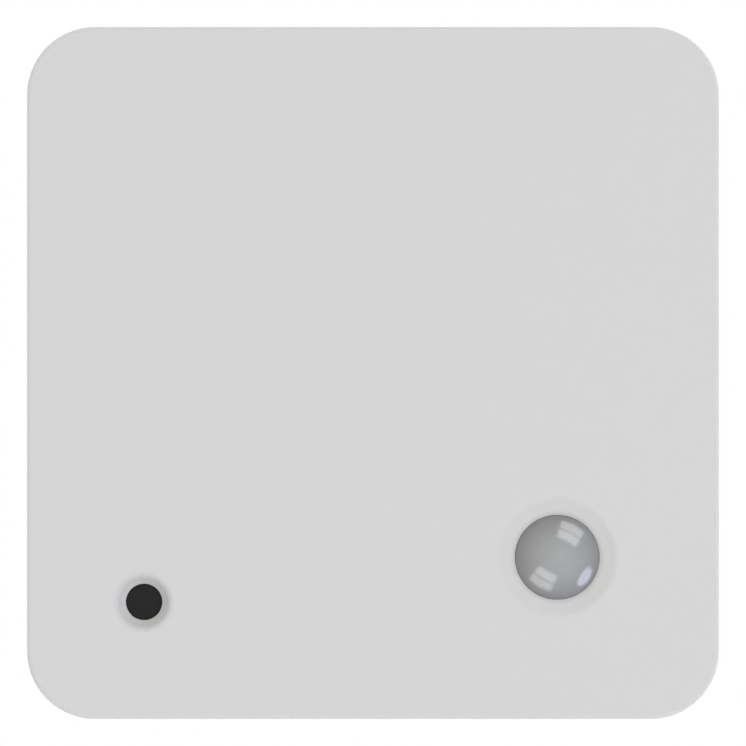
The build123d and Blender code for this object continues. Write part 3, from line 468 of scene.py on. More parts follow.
def rolled_grain():
    tree, given, out = effect_group("Rolled grain", "Height", "Shade", Line=0.0001)
    drawn_out = vector_maths(tree, "MULTIPLY", object_place(tree), (0.06, 1.0, 1.0))
    lines = grains(tree, given["Line"], 3.0, drawn_out)
    tree.links.new(lines, out["Height"])
    both = maths(tree, "ADD", lines, noise(tree, 420.0, 4.0))
    tree.links.new(maths(tree, "MULTIPLY", both, 0.5), out["Shade"])


def use_effect(tree, name, **inputs):
    """Places a shared effect in a material with its own values."""
    made = tree.nodes.new("ShaderNodeGroup")
    made.node_tree = bpy.data.node_groups[name]
    feed(tree, made, inputs)
    return made.outputs


def toned(tree, colour, amount, patch):
    return use_effect(tree, "Uneven tone", Color=rgba(colour), Amount=amount, Patch=patch)["Color"]


def scratched(tree, spacing, share):
    return use_effect(tree, "Fine scratches", Spacing=spacing, Share=share)["Mask"]


def rubbed(tree, radius, amount):
    return use_effect(tree, "Rubbed edges", Radius=radius, Amount=amount)["Mask"]


def dusted(tree, cover, base, dust):
    """Lays dust over a colour where the surface faces up."""
    return blended(tree, use_effect(tree, "Settled dust", Cover=cover)["Mask"], base, dust)


# Materials: finishes

def new_finish(name, colour, **sockets):
    """Starts a material, with the even values on the shader's own sockets."""
    material = bpy.data.materials.new(name)
    material.use_nodes = True
    material.diffuse_color = (*colour, 1.0)
    shader = material.node_tree.nodes["Principled BSDF"]
    shader.inputs["Base Color"].default_value = (*colour, 1.0)
    for key, value in sockets.items():
        shader.inputs[key.replace("_", " ")].default_value = value
    return material, material.node_tree


def linked(material, **sockets):
    """Links what varies to the material's shader."""
    tree = material.node_tree
    shader = tree.nodes["Principled BSDF"]
    for key, value in sockets.items():
        tree.links.new(value, shader.inputs[key.replace("_", " ")])
    return material


def bumped(tree, *layers):
    """A normal from layers of (height, depth in metres), one on another."""
    normal = None
    for height, depth in layers:
        inputs = {"Height": height, "Distance": depth, "Strength": 1.0}
        if normal is not None:
            inputs["Normal"] = normal
        normal = add_node(tree, "Bump", inputs).outputs[0]
    return normal


def moulded(
    name, colour, rough=0.45, grain=2e-4, wave=0.012, depth=4e-6, tone=0.03, dust=0.0,
    rub=0.3, lift=1.25,
):
    """Moulded plastic: textured, a little uneven, polished and paler at its handled edges."""
    material, tree = new_finish(name, colour)
    texture = use_effect(tree, "Moulding grain", Grain=grain, Wave=wave)
    worn = rubbed(tree, 1.8e-4, rub)
    base = blended(tree, worn, toned(tree, colour, tone, wave), paler(colour, lift))
    if dust:
        base = dusted(tree, dust, base, (0.42, 0.4, 0.37))
    uneven = varied(tree, texture["Waves"], rough - 0.04, rough + 0.04)
    polished = maths(tree, "MULTIPLY_ADD", worn, -0.12, uneven)
    return linked(
        material,
        Base_Color=base,
        Roughness=maths(tree, "SUBTRACT", polished, scratched(tree, 0.006, 0.12), clamp=True),
        Normal=bumped(tree, (texture["Waves"], depth * 6), (texture["Height"], depth)),
    )


def metal(name, colour, rough=0.28, line=1e-4):
    """Sheet or turned metal: rolled lines, a soft tarnish and brighter rubbed edges."""
    material, tree = new_finish(name, colour, Metallic=1.0)
    lines = use_effect(tree, "Rolled grain", Line=line)
    dull = ranged(tree, noise(tree, 260.0, 5.0), 0.5, 0.75, 0.0, 0.12)
    base = blended(tree, dull, toned(tree, colour, 0.06, 0.002), (0.3, 0.27, 0.22))
    base = blended(tree, rubbed(tree, 1.2e-4, 0.4), base, paler(colour, 1.2))
    uneven = varied(tree, lines["Shade"], rough - 0.08, rough + 0.08)
    return linked(
        material,
        Base_Color=base,
        Roughness=maths(tree, "ADD", uneven, scratched(tree, 0.003, 0.15), clamp=True),
        Normal=bumped(tree, (lines["Height"], 1.2e-6)),
    )


def solder(name, colour):
    """Reflowed tin: bright, with the fine frost of its crystals."""
    material, tree = new_finish(name, colour, Metallic=1.0)
    inputs = {"Vector": object_place(tree), "Scale": 9000.0}
    crystals = add_node(tree, "TexVoronoi", inputs).outputs["Distance"]
    return linked(
        material,
        Base_Color=toned(tree, colour, 0.1, 0.0006),
        Roughness=ranged(tree, crystals, 0.0, 1.0, 0.16, 0.36),
        Normal=bumped(tree, (crystals, 3e-6)),
    )


def coated_laminate(name, mask, gap=None):
    """Circuit board: glossy mask with the weave showing through, and bare cut edges."""
    material, tree = new_finish(name, mask, Coat_Roughness=0.12)
    along = split(tree, object_place(tree))
    threads = 2 * math.pi / 0.0009
    weave = joined(
        tree,
        "MULTIPLY",
        [maths(tree, "SINE", maths(tree, "MULTIPLY", along[axis], threads)) for axis in "XZ"],
    )
    shown = ranged(tree, weave, -1.0, 1.0, 0.0, 0.25)
    base = blended(tree, shown, toned(tree, mask, 0.12, 0.004), gap or mask)
    cut = ranged(tree, maths(tree, "ABSOLUTE", facing(tree, "Y")), 0.4, 0.6, 1.0, 0.0)
    fibres = use_effect(tree, "Rolled grain", Line=0.00015)
    bare = blended(tree, fibres["Shade"], (0.33, 0.27, 0.12), (0.5, 0.43, 0.22))
    rough = ranged(tree, cut, 0.0, 1.0, 0.24, 0.75)
    return linked(
        material,
        Base_Color=dusted(tree, 0.15, blended(tree, cut, base, bare), (0.4, 0.38, 0.35)),
        Roughness=maths(tree, "ADD", rough, scratched(tree, 0.005, 0.2), clamp=True),
        Coat_Weight=ranged(tree, cut, 0.0, 1.0, 0.5, 0.0),
        Normal=bumped(tree, (weave, 1.5e-6), (fibres["Height"], 1e-6)),
    )


def clear_plastic(name, colour, rough=0.06):
    """Clear moulded plastic with faint flow lines."""
    material, tree = new_finish(name, colour, Transmission_Weight=0.9, IOR=1.49)
    waves = use_effect(tree, "Moulding grain", Grain=0.0008, Wave=0.003)["Waves"]
    return linked(
        material,
        Base_Color=toned(tree, colour, 0.03, 0.002),
        Roughness=varied(tree, waves, rough, rough + 0.08),
        Normal=bumped(tree, (waves, 4e-6)),
    )


def lens_finish(settings):
    """Milky lens plastic, with painted shade darkening it where the dome curves away."""
    material, tree = new_finish("Lens plastic", settings.middle, IOR=1.5)
    across = split(tree, object_place(tree))
    squares = [maths(tree, "POWER", across[axis], 2.0) for axis in "XY"]
    # Painted shade: the colour darkens from the lens's middle out to its rim
    painted_rim_shade = ranged(tree, joined(tree, "ADD", squares), 0.0, settings.radius**2, 0.0, 1.0)
    waves = use_effect(tree, "Moulding grain", Grain=0.0006, Wave=0.0025)["Waves"]
    uneven = varied(tree, waves, 0.12, 0.16)
    return linked(
        material,
        Base_Color=toned(tree, blended(tree, painted_rim_shade, settings.middle, settings.shaded_rim), 0.02, 0.002),
        Roughness=maths(tree, "ADD", uneven, scratched(tree, 0.003, 0.05)),
        Normal=bumped(tree, (waves, 5.5e-6)),
    )


def away_from(tree, middle):
    """Distance from the line straight out of the wall through a point."""
    offset = vector_maths(tree, "SUBTRACT", object_place(tree), middle)
    return vector_maths(tree, "LENGTH", vector_maths(tree, "MULTIPLY", offset, (1.0, 0.0, 1.0)))


def cover_finish(settings):
    """Satin moulding, with painted shade darkening the dishes round the lens and the window."""
    material = moulded(
        "Cover plastic",
        tuple(settings.cover),
        rough=settings.roughness,
        grain=settings.grain,
        depth=2.5e-6,
        tone=0.006,
        dust=0.05,
        rub=0.12,
        lift=1.05,
        wave=0.02,
    )
    tree = material.node_tree
    base = tree.nodes["Principled BSDF"].inputs["Base Color"].links[0].from_socket
    lens = away_from(tree, centre_of("pir_lens"))
    window = away_from(tree, centre_of("light_window"))

    def fading(distance, near, far, at_near, at_far=0.0):
        return ranged(tree, distance, near * MM, far * MM, at_near, at_far, smooth=True)

    # Painted shade: the window dish's shoulder, the ring where the lens leaves the cover and the
    # lens dish are blended towards dark grey, standing in for the shade of these recesses
    window_brow_shade = maths(
        tree, "MULTIPLY", fading(window, 3.1, 3.95, 1.0), fading(window, 2.7, 3.1, 0.05, 0.15)
    )
    dish_shade_rings = (fading(lens, 5.2, 6.1, 0.24), fading(lens, 6.9, 7.7, 0.05), window_brow_shade)
    out_of_wall = split(tree, object_place(tree))["Y"]
    outside = ranged(tree, out_of_wall, -24.0 * MM, -23.6 * MM, 1.0, 0.0)
    # Noise makes the painted shade a little uneven
    uneven_shade = varied(tree, noise(tree, 2600.0, 3.0), 0.85, 1.15)
    # The dust mask here is painted shade on the front face, not dust: it blends the base towards
    # dark grey
    dust = joined(tree, "MULTIPLY", (joined(tree, "MAXIMUM", dish_shade_rings), outside, uneven_shade))
    return linked(material, Base_Color=blended(tree, dust, base, (0.08, 0.08, 0.08)))


def window_finish(settings):
    """Dark infrared-passing plastic: deep, smooth and faintly uneven, with painted shade darkening
    its rim.
    """
    material, tree = new_finish("Window plastic", settings.window, Specular_IOR_Level=0.2)
    away = away_from(tree, centre_of("light_window"))
    # Painted shade: the window darkens towards its rim, where the dish wall meets it
    painted_rim_shade = ranged(tree, away, 1.7 * MM, 2.3 * MM, 0.0, 1.0, smooth=True)
    base = blended(tree, painted_rim_shade, settings.window, paler(settings.window, 0.45))
    texture = use_effect(tree, "Moulding grain", Grain=0.0003, Wave=0.002)
    return linked(
        material,
        Base_Color=toned(tree, base, 0.05, 0.001),
        Roughness=varied(tree, texture["Waves"], 0.3, 0.38),
        Normal=bumped(tree, (texture["Waves"], 2e-6), (texture["Height"], 8e-7)),
    )


def sleeve_finish(settings, half_length, radius):
    """Printed shrink sleeve: a pale band at the positive end, with plain plus and minus marks."""
    material, tree = new_finish("Cell sleeve", settings.sleeve, Coat_Roughness=0.1)
    spot = split(tree, object_place(tree))
    along = spot["Z"]
    around = maths(tree, "MULTIPLY", maths(tree, "ARCTAN2", spot["X"], spot["Y"]), radius)
    arm, bar = 2.2 * MM, 0.5 * MM

    def within(value, half):
        return maths(tree, "LESS_THAN", maths(tree, "ABSOLUTE", value), half)

    def from_middle(place):
        return maths(tree, "SUBTRACT", along, half_length * place)

    def mark(place, half_along, half_around):
        return maths(
            tree, "MULTIPLY", within(from_middle(place), half_along), within(around, half_around)
        )

    plus = (mark(0.62, arm, bar), mark(0.62, bar, arm))
    marks = joined(tree, "MAXIMUM", (*plus, mark(-0.72, bar, arm)))
    band = ranged(tree, along, half_length * 0.8, half_length * 0.8 + 0.1 * MM, 0.0, 1.0)
    pale = maths(tree, "MAXIMUM", band, within(from_middle(0.76), 0.3 * MM))
    base = blended(tree, pale, toned(tree, settings.sleeve, 0.05, 0.008), settings.band)
    base = blended(tree, marks, base, settings.mark)
    creases = use_effect(tree, "Moulding grain", Grain=0.0015, Wave=0.006)
    uneven = varied(tree, creases["Waves"], 0.22, 0.32)
    return linked(
        material,
        Base_Color=blended(tree, rubbed(tree, 3e-4, 0.25), base, (0.35, 0.37, 0.4)),
        Roughness=maths(tree, "ADD", uneven, scratched(tree, 0.006, 0.2)),
        Coat_Weight=varied(tree, creases["Waves"], 0.5, 0.7),
        Normal=bumped(tree, (creases["Waves"], 1.2e-5), (creases["Height"], 1.5e-6)),
    )


# Kind, colour and settings of each finish that has no setting of the user's
FINISHES = {
    "Retainer plastic": (moulded, (0.03, 0.03, 0.03), dict(rough=0.5)),
    "Chip plastic": (
        moulded, (0.02, 0.02, 0.022), dict(rough=0.55, grain=9e-5, depth=3e-6, tone=0.1, dust=0.1)
    ),
    "Sensor plastic": (moulded, (0.6, 0.58, 0.5), dict(rough=0.35, grain=1e-4, tone=0.04)),
    "Plunger plastic": (moulded, (0.6, 0.6, 0.58), dict(rough=0.4, grain=1.5e-4, tone=0.03)),
    "Holder plastic": (
        moulded, (0.022, 0.022, 0.023), dict(rough=0.5, depth=6e-6, tone=0.1, dust=0.15, lift=2.0)
    ),
    "Resistor glaze": (moulded, (0.025, 0.025, 0.03), dict(rough=0.3, grain=1e-4, tone=0.1)),
    "Capacitor ceramic": (moulded, (0.32, 0.22, 0.13), dict(rough=0.5, grain=1e-4, tone=0.12)),
    "Capacitor ink": (moulded, (0.02, 0.02, 0.025), dict(rough=0.5, grain=1e-4, tone=0.1, rub=0.0)),
    "Filter glass": (
        moulded, (0.05, 0.045, 0.06), dict(rough=0.12, grain=4e-4, depth=5e-7, tone=0.05, rub=0.1)
    ),
    "Fired element": (moulded, (0.7, 0.66, 0.55), dict(rough=0.7, grain=1e-4, tone=0.06)),
    "Washer card": (moulded, (0.62, 0.6, 0.54), dict(rough=0.7, grain=1e-4, tone=0.05)),
    "Guide plastic": (clear_plastic, (0.9, 0.92, 0.92), {}),
    "Light resin": (clear_plastic, (0.85, 0.88, 0.8), dict(rough=0.2)),
    "Radio mask": (coated_laminate, (0.01, 0.05, 0.03), {}),
    "Soldered tin": (solder, (0.68, 0.68, 0.67), {}),
    "Gold plate": (metal, (0.83, 0.62, 0.28), dict(rough=0.25)),
    "Plated lead": (metal, (0.83, 0.62, 0.28), dict(rough=0.3)),
    "Nickel plate": (metal, (0.62, 0.6, 0.56), dict(rough=0.26)),
    "Tin plate": (metal, (0.66, 0.65, 0.62), dict(rough=0.34)),
    "Zinc plated steel": (metal, (0.6, 0.6, 0.6), dict(rough=0.3)),
    "Drawn aluminium": (metal, (0.72, 0.72, 0.73), dict(rough=0.3, line=6e-5)),
    "Terminal steel": (metal, (0.66, 0.64, 0.6), dict(rough=0.25)),
    "Spring wire": (metal, (0.6, 0.58, 0.55), dict(rough=0.3, line=8e-5)),
    "Can steel": (metal, (0.7, 0.69, 0.66), dict(rough=0.24, line=6e-5)),
}


def finish(name):
    """A material from the list, made the first time that a piece asks for it."""
    kind, colour, settings = FINISHES[name]
    return bpy.data.materials.get(name) or kind(name, colour, **settings)


# Operators: one for each piece or group of like pieces

class SENSOR_OT_effects(Operator):
    """Build the effects that the materials share"""

    bl_idname = "room_sensor.effects"
    bl_label = "Shared effects"

    def execute(self, context):
        for build in (
            moulding_grain, uneven_tone, rubbed_edges, settled_dust, fine_scratches, rolled_grain
        ):
            build()
        return {"FINISHED"}


class SENSOR_OT_stage(Operator):
    """Set the camera, the pale floor and the soft lamps"""

    bl_idname = "room_sensor.stage"
    bl_label = "Stage"

    def execute(self, context):
        settings = context.scene.sensor_stage
        eye = bpy.data.cameras.new("Camera")
        eye.lens = settings.focal_length
        eye.sensor_width = 36.0
        camera = bpy.data.objects.new("Camera", eye)
        level = Matrix.Rotation(math.pi / 2, 4, "X")
        camera.matrix_world = Matrix.Translation((0, -settings.distance, 0)) @ level
        context.scene.collection.objects.link(camera)
        context.scene.camera = camera
        context.scene.view_settings.view_transform = "Standard"
        self.fill_the_room(context, settings)
        self.hang_lamps(context, settings)
        self.lay_the_floor(context, settings)
        return {"FINISHED"}

    def seen_white(self, tree):
        """1 for the rays that should meet a white background."""
        rays = add_node(tree, "LightPath").outputs
        kinds = ("Is Camera Ray", "Is Glossy Ray", "Is Transmission Ray")
        return joined(tree, "MAXIMUM", [rays[kind] for kind in kinds])

    def fill_the_room(self, context, settings):
        world = bpy.data.worlds.new("Room")
        world.use_nodes = True
        context.scene.world = world
        tree = world.node_tree
        tree.nodes.clear()
        even, white = (
            add_node(tree, "Background", {"Color": rgba(WHITE), "Strength": level}).outputs[0]
            for level in (settings.ambient, 1.0)
        )
        both = add_node(tree, "MixShader", {0: self.seen_white(tree), 1: even, 2: white}).outputs[0]
        add_node(tree, "OutputWorld", {0: both})

    def hang_lamps(self, context, settings):
        for name, place, side, level, tint in ROOM_LAMPS:
            lamp = self.hang_lamp(context, name, place, Vector(), (1, 0, 0), (side, side), tint)
            strength = level * math.pi**2 * Vector(place).length_squared
            lamp.data.energy = settings.lamps * strength
            lamp.visible_glossy = False
        lens = centre_of("pir_lens")
        lens_only = bpy.data.collections.new("Lens only")
        for shape, names, place, across, size, apart, level, tint in LENS_LAMPS:
            area = size[0] * size[1] * (math.pi / 4 if shape == "ELLIPSE" else 1)
            for name, way in zip(names, (-1, 1)):
                lamp = self.hang_lamp(context, name, place, lens, across, size, tint, way * apart)
                lamp.data.shape = shape
                lamp.data.energy = settings.lamps * level * math.pi * area
                lamp.visible_diffuse = False
                lamp.light_linking.receiver_collection = lens_only

    def hang_lamp(self, context, name, place, target, across, size, tint, shift=0.0):
        """A flat lamp that faces its target, moved up or down within its own plane."""
        place, across = Vector(place), Vector(across)
        out = (place - target).normalized()
        across = (across - out * across.dot(out)).normalized()
        up = out.cross(across)
        glow = bpy.data.lights.new(name, "AREA")
        glow.shape = "RECTANGLE"
        glow.size, glow.size_y = size
        glow.color = tint
        lamp = bpy.data.objects.new(name, glow)
        turn = Matrix((across, up, out)).transposed().to_4x4()
        lamp.matrix_world = Matrix.Translation(place + up * shift) @ turn
        lamp.visible_camera = False
        context.scene.collection.objects.link(lamp)
        return lamp

    def floor_finish(self):
        """Pale paint that fades to white, and is clear from below."""
        material = bpy.data.materials.new("Pale floor")
        material.use_nodes = True
        tree = material.node_tree
        tree.nodes.clear()
        out = vector_maths(tree, "LENGTH", object_place(tree))
        fade = ranged(tree, out, 0.18, 0.52, 0.0, 1.0, smooth=True)
        pale = blended(tree, noise(tree, 30.0, 3.0), (0.86, 0.86, 0.86), (0.9, 0.9, 0.9))
        paint = blended(tree, self.seen_white(tree), (0.32, 0.32, 0.32), pale)
        plain = add_node(tree, "BsdfDiffuse", {"Color": paint}).outputs[0]
        white = add_node(tree, "Emission", {"Strength": 1.0}).outputs[0]
        seen = maths(tree, "MULTIPLY", fade, self.seen_white(tree))
        faded = add_node(tree, "MixShader", {0: seen, 1: plain, 2: white}).outputs[0]
        clear = add_node(tree, "BsdfTransparent").outputs[0]
        below = add_node(tree, "NewGeometry").outputs["Backfacing"]
        both = add_node(tree, "MixShader", {0: below, 1: faded, 2: clear}).outputs[0]
        add_node(tree, "OutputMaterial", {0: both})
        return material

    def lay_the_floor(self, context, settings):
        reach, sides = 0.55, 96
        angles = [2 * math.pi * side / sides for side in range(sides)]
        corners = [(reach * math.cos(angle), reach * math.sin(angle), 0) for angle in angles]
        data = bpy.data.meshes.new("Floor")
        data.from_pydata(corners, [], [list(range(sides))])
        data.materials.append(self.floor_finish())
        floor = bpy.data.objects.new("Floor", data)
        floor.location = (0, 0, -settings.floor_drop)
        floor.visible_glossy = False
        floor.visible_shadow = False
        context.scene.collection.objects.link(floor)


class SENSOR_OT_cover(Operator):
    """Give the front cover its satin moulding"""

    bl_idname = "room_sensor.cover"
    bl_label = "Front cover"

    def execute(self, context):
        dress(cover_finish(context.scene.sensor_cover), "front_cover")
        return {"FINISHED"}


class SENSOR_OT_plate(Operator):
    """Give the wall plate and its snap arms their plastic, with the marks of their mould"""

    bl_idname = "room_sensor.plate"
    bl_label = "Wall plate"

    def execute(self, context):
        plate = tuple(context.scene.sensor_cover.plate)
        plastic = moulded("Plate plastic", plate, rough=0.5, grain=4e-4, depth=5e-6, dust=0.12)
        dress(plastic, "wall_plate", "snap_arms")
        inner_face = 2.0 * MM
        foot = inner_face - 0.1 * MM
        ejector_places = [place * MM for place in (-33.5, -12.5, 12.5, 33.5)]

        def mould_marks(mesh):
            for x in ejector_places:
                for z in ejector_places:
                    ring(mesh, x, z, 2.0 * MM, 1.82 * MM, foot, inner_face + 0.06 * MM)
            ring(mesh, 0.0, 0.0, 1.1 * MM, 0.0, foot, inner_face + 0.25 * MM)

        piece("plate_mould_marks", "wall_mount", plastic, mould_marks)

        def up_mark(mesh):
            high = inner_face + 0.3 * MM
            head = [(x * MM, z * MM) for x, z in ((-3.0, 33.4), (3.0, 33.4), (0.0, 36.6))]
            slab(mesh, head, foot, high)
            block(mesh, 0.0, 31.6 * MM, 1.8 * MM, 3.6 * MM, foot, high)

        piece("plate_up_mark", "wall_mount", plastic, up_mark, edge=0.08 * MM)
        return {"FINISHED"}


class SENSOR_OT_lens(Operator):
    """Turn the lens with its stepped rings, and dress its retainer"""

    bl_idname = "room_sensor.lens"
    bl_label = "Lens"

    def execute(self, context):
        settings = context.scene.sensor_lens
        low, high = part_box("pir_lens")
        middle = (low + high) / 2
        foot, top = -high.y, -low.y
        flange_radius = (high.x - low.x) / 2
        flange_top = foot + 0.8 * MM
        bevel, ring_step = 0.1 * MM, 0.12 * MM
        radius, skin, rings = settings.radius, settings.skin, settings.rings
        sphere = (radius**2 + settings.rise**2) / (2 * settings.rise)
        bore = radius - skin
        facets = 40
        angles = [math.asin(radius / sphere) * step / facets for step in range(facets + 1)]

        def inner(r):
            return top - sphere + math.sqrt((sphere - skin) ** 2 - r**2)

        profile = [
            (sphere * math.sin(angle), top - sphere + sphere * math.cos(angle)) for angle in angles
        ]
        profile += [(radius, flange_top), (flange_radius - bevel, flange_top)]
        profile += [(flange_radius, flange_top - bevel), (flange_radius, foot), (bore, foot)]
        for zone in range(rings, 0, -1):
            wide, narrow = bore * zone / rings, bore * (zone - 1) / rings
            profile += [(wide, inner(wide)), (narrow, inner(narrow) - ring_step)]
        dome = piece(
            "lens_dome",
            FRONT_UNIT,
            lens_finish(settings),
            lambda mesh: turned(mesh, profile, ON_AXIS, 144),
            replaces=("pir_lens",),
            sharp=25.0,
            place=on_wall(middle.x, middle.z),
        )
        bpy.data.collections["Lens only"].objects.link(dome)
        dress(finish("Retainer plastic"), "lens_retainer")
        return {"FINISHED"}


class SENSOR_OT_window(Operator):
    """Dress the light window and the guide behind it"""

    bl_idname = "room_sensor.window"
    bl_label = "Light window"

    def execute(self, context):
        dress(window_finish(context.scene.sensor_lens), "light_window")
        dress(finish("Guide plastic"), "light_guide")
        return {"FINISHED"}


class SENSOR_OT_board(Operator):
    """Build the circuit board's tracks, pads, joints and printed outlines"""

    bl_idname = "room_sensor.board"
    bl_label = "Circuit board"

    def execute(self, context):
        settings = context.scene.sensor_board
        low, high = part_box("main_board")
        self.back, self.front = -high.y, -low.y
        gap = tuple(settings.gap)
        mask = coated_laminate("Board mask", tuple(settings.mask), gap)
        bare = coated_laminate("Board mask gap", gap)
        lit = coated_laminate("Board mask track", tuple(paler(settings.mask, 2.3)))
        ink = moulded(
            "Board ink", tuple(settings.ink), rough=0.6, grain=1e-4, tone=0.08, rub=0.0
        )
        dress(mask, "main_board")
        routes, vias = self.routes(settings)

        def strips(extra, thickness):
            def build(mesh):
                for points, width in routes:
                    line = [(x * MM, z * MM) for x, z in points]
                    ribbon(mesh, line, width + extra, *self.printed(thickness))
            return build

        def via_rings(mesh):
            for x, z in vias:
                heights = (self.back + 0.02 * MM, self.back - 0.045 * MM)
                ring(mesh, x * MM, z * MM, 0.32 * MM, 0.15 * MM, *heights, sides=16)

        for name, material, slot, build in (
            ("track_gaps", bare, "board_laminate", strips(0.36 * MM, 0.008 * MM)),
            ("board_bare_area", bare, "board_laminate", self.bare_area),
            ("tracks", lit, "board_laminate", strips(0.0, 0.035 * MM)),
            ("vias", finish("Soldered tin"), "gold_plate", via_rings),
            ("bare_pads", finish("Gold plate"), "gold_plate", self.bare_pads),
            ("board_ink", ink, "board_laminate", self.outlines),
            ("solder_joints", finish("Soldered tin"), "gold_plate", self.joints),
        ):
            piece(name, FRONT_UNIT, material, build)
        return {"FINISHED"}

    def printed(self, thickness):
        """Heights of a print on the back of the board, which reaches a little into it."""
        return self.back + SUNK, self.back - thickness

    def bare_area(self, mesh):
        """The area without copper, under the antenna."""
        strip = centre_of("antenna")
        heights = self.printed(0.004 * MM)
        block(mesh, strip.x + 0.3 * MM, strip.z, 6.4 * MM, 23.4 * MM, *heights)

    def bare_pads(self, mesh):
        """Pads under the screws, test pads and round marks for the placing machine."""
        screw = 34.8 * MM
        for i, j in CORNERS:
            for face, up in ((self.back, -1), (self.front, 1)):
                heights = (face - up * SUNK, face + up * 0.03 * MM)
                ring(mesh, i * screw, j * screw, 2.75 * MM, 1.32 * MM, *heights, sides=48)
        tests = [(x, z) for x in TEST_PADS_X for z in (-32.6, -35.8)]
        marks = [(-37.2, -8.0), (37.2, 28.0), (-30.5, 37.4)]
        for places, radius in ((tests, 0.7 * MM), (marks, 0.5 * MM)):
            for x, z in places:
                ring(mesh, x * MM, z * MM, radius, 0.0, *self.printed(0.03 * MM))

    def outlines(self, mesh):
        """Outlines and signs in ink."""
        heights = self.printed(0.02 * MM)
        thin, bold = 0.16 * MM, 0.2 * MM
        for node, margin, line in (
            ("header_block", 0.5, thin),
            ("radio_board", 0.5, thin),
            ("crystal", 0.4, thin),
            ("switch_frame", 0.4, thin),
            ("cell_holder_upper", 0.45, bold),
            ("cell_holder_lower", 0.45, bold),
        ):
            low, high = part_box(node)
            middle = (low + high) / 2
            size = (side + 2 * margin * MM for side in (high.x - low.x, high.z - low.z))
            frame_line(mesh, middle.x, middle.z, *size, line, *heights)
        can = centre_of("buffer_capacitor")
        ring(mesh, can.x, can.z, 4.9 * MM, 4.74 * MM, *heights, sides=64)
        chip = centre_of("microcontroller")
        ring(mesh, chip.x - 4.2 * MM, chip.z + 4.2 * MM, 0.3 * MM, 0.0, *heights)
        arm, bar = 2.6 * MM, 0.5 * MM
        for row, plus_x, minus_x in (("upper", 36.3, -37.0), ("lower", -37.0, 36.3)):
            z = centre_of(f"cell_holder_{row}").z
            plus_sign(mesh, plus_x * MM, z + 1.5 * MM, arm, bar, *heights)
            block(mesh, minus_x * MM, z - 1.5 * MM, arm, bar, *heights)

    def routes(self, settings):
        """Tracks on the back of the board and the vias at their ends, in millimetres."""
        routes, vias = [], []

        def run(*points, width=settings.track, via=False):
            routes.append((points, width))
            if via:
                vias.append(points[-1])

        for lane in range(5):  # from the radio module
            pad, level, exit_x = -14.5 - 2 * lane, -20.9 - 0.55 * lane, 18.4 - 0.7 * lane
            bend, drop = -8.4 + (pad - level), 2.2 + 0.35 * lane
            end = (exit_x + drop, level - drop)
            run((-9.5, pad), (-8.4, pad), (bend, level), (exit_x, level), end, via=True)
        controller_x, controller_z = 26, -33
        for number in range(4):  # between the controller and the parts round it
            step = CHIP_PITCH * (number - 1.5)
            x, z = controller_x + step, controller_z + step
            run((22.6, z), (21.4, z))
            run((20.3, z), (19.75, z), via=True)
            run((29.4, z), (30.6, z))
            run((31.7, z), (32.7, z), via=True)
            run((x, -29.6), (x, -28.4))
            run((x, -27.3), (x, -26.2), via=True)
            run((x, -36.4), (x, -37.6))
        for side in (-1, 1):  # from the air sensor, up its tongue
            for lane in range(2):
                start, neck = 0.5 + 0.5 * lane, 3.35 + 0.6 * lane
                run(
                    (side * start, -33.5),
                    (side * start, -33.3),
                    (side * neck, -33.3 + neck - start),
                    (side * neck, -29.2),
                    via=True,
                )
        for column in (-1, 0, 1):  # from the service header
            x = 12.0 + PIN_PITCH * column
            run((x, -28.4), (x, -29.6), (x + 1.2, -30.8), via=True)
        # From the reset switch
        run((1.0, -19.75), (-1.4, -19.75), (-2.6, -18.55), (-2.6, -13.2), via=True)
        run((8.0, -14.25), (10.4, -14.25), (11.6, -13.05), via=True)
        # From the cells
        wide = settings.power_track
        run((-33.2, -17.2), (-33.2, 3.0), (-30.2, 6.0), (-29.0, 6.0), width=wide)
        link = ((29.0, 24.6), (31.2, 24.6), (33.2, 22.6), (33.2, 8.0), (31.2, 6.0), (29.0, 6.0))
        run(*link, width=wide)
        run((-29.0, 24.6), (-31.0, 24.6), (-35.4, 20.2), (-35.4, -8.0), (-35.4, -12.0), width=wide)
        for x in TEST_PADS_X:
            run((x, -32.0), (x, -30.9), (x + 0.9, -30.0), via=True)
            run((x, -36.4), (x, -37.2), via=True)
        for z in (-22.5, -19.5):  # to the buffer capacitor
            run((-30.0, z), (-28.4, z), width=wide)
        for step in range(-6, 7):  # vias alone, along the board's edges
            along = 5.0 * step
            if step != 0:
                vias.append((along, 38.6))
            if abs(step) > 1:
                vias.append((along, -38.7))
            if abs(step) != 3:
                vias += [(-38.7, along), (38.7, along)]
        return routes, vias

    def joints(self, mesh):
        """Solder round every lead that passes the board, and under the feet that stand on it."""
        curve = ((0, 0), (1, 0), (0.78, 0.14), (0.55, 0.36), (0.4, 0.68))

        def fillet(x, z, foot, stem, rise, face=self.back, up=-1):
            """Solder round a lead, from its widest to its narrowest radius, in millimetres."""
            shape = (*curve, (stem / foot, 1), (0, 1))
            profile = [(r * foot * MM, face + up * (h * rise - 0.02) * MM) for r, h in shape]
            turned(mesh, profile, on_wall(x, z), 24)

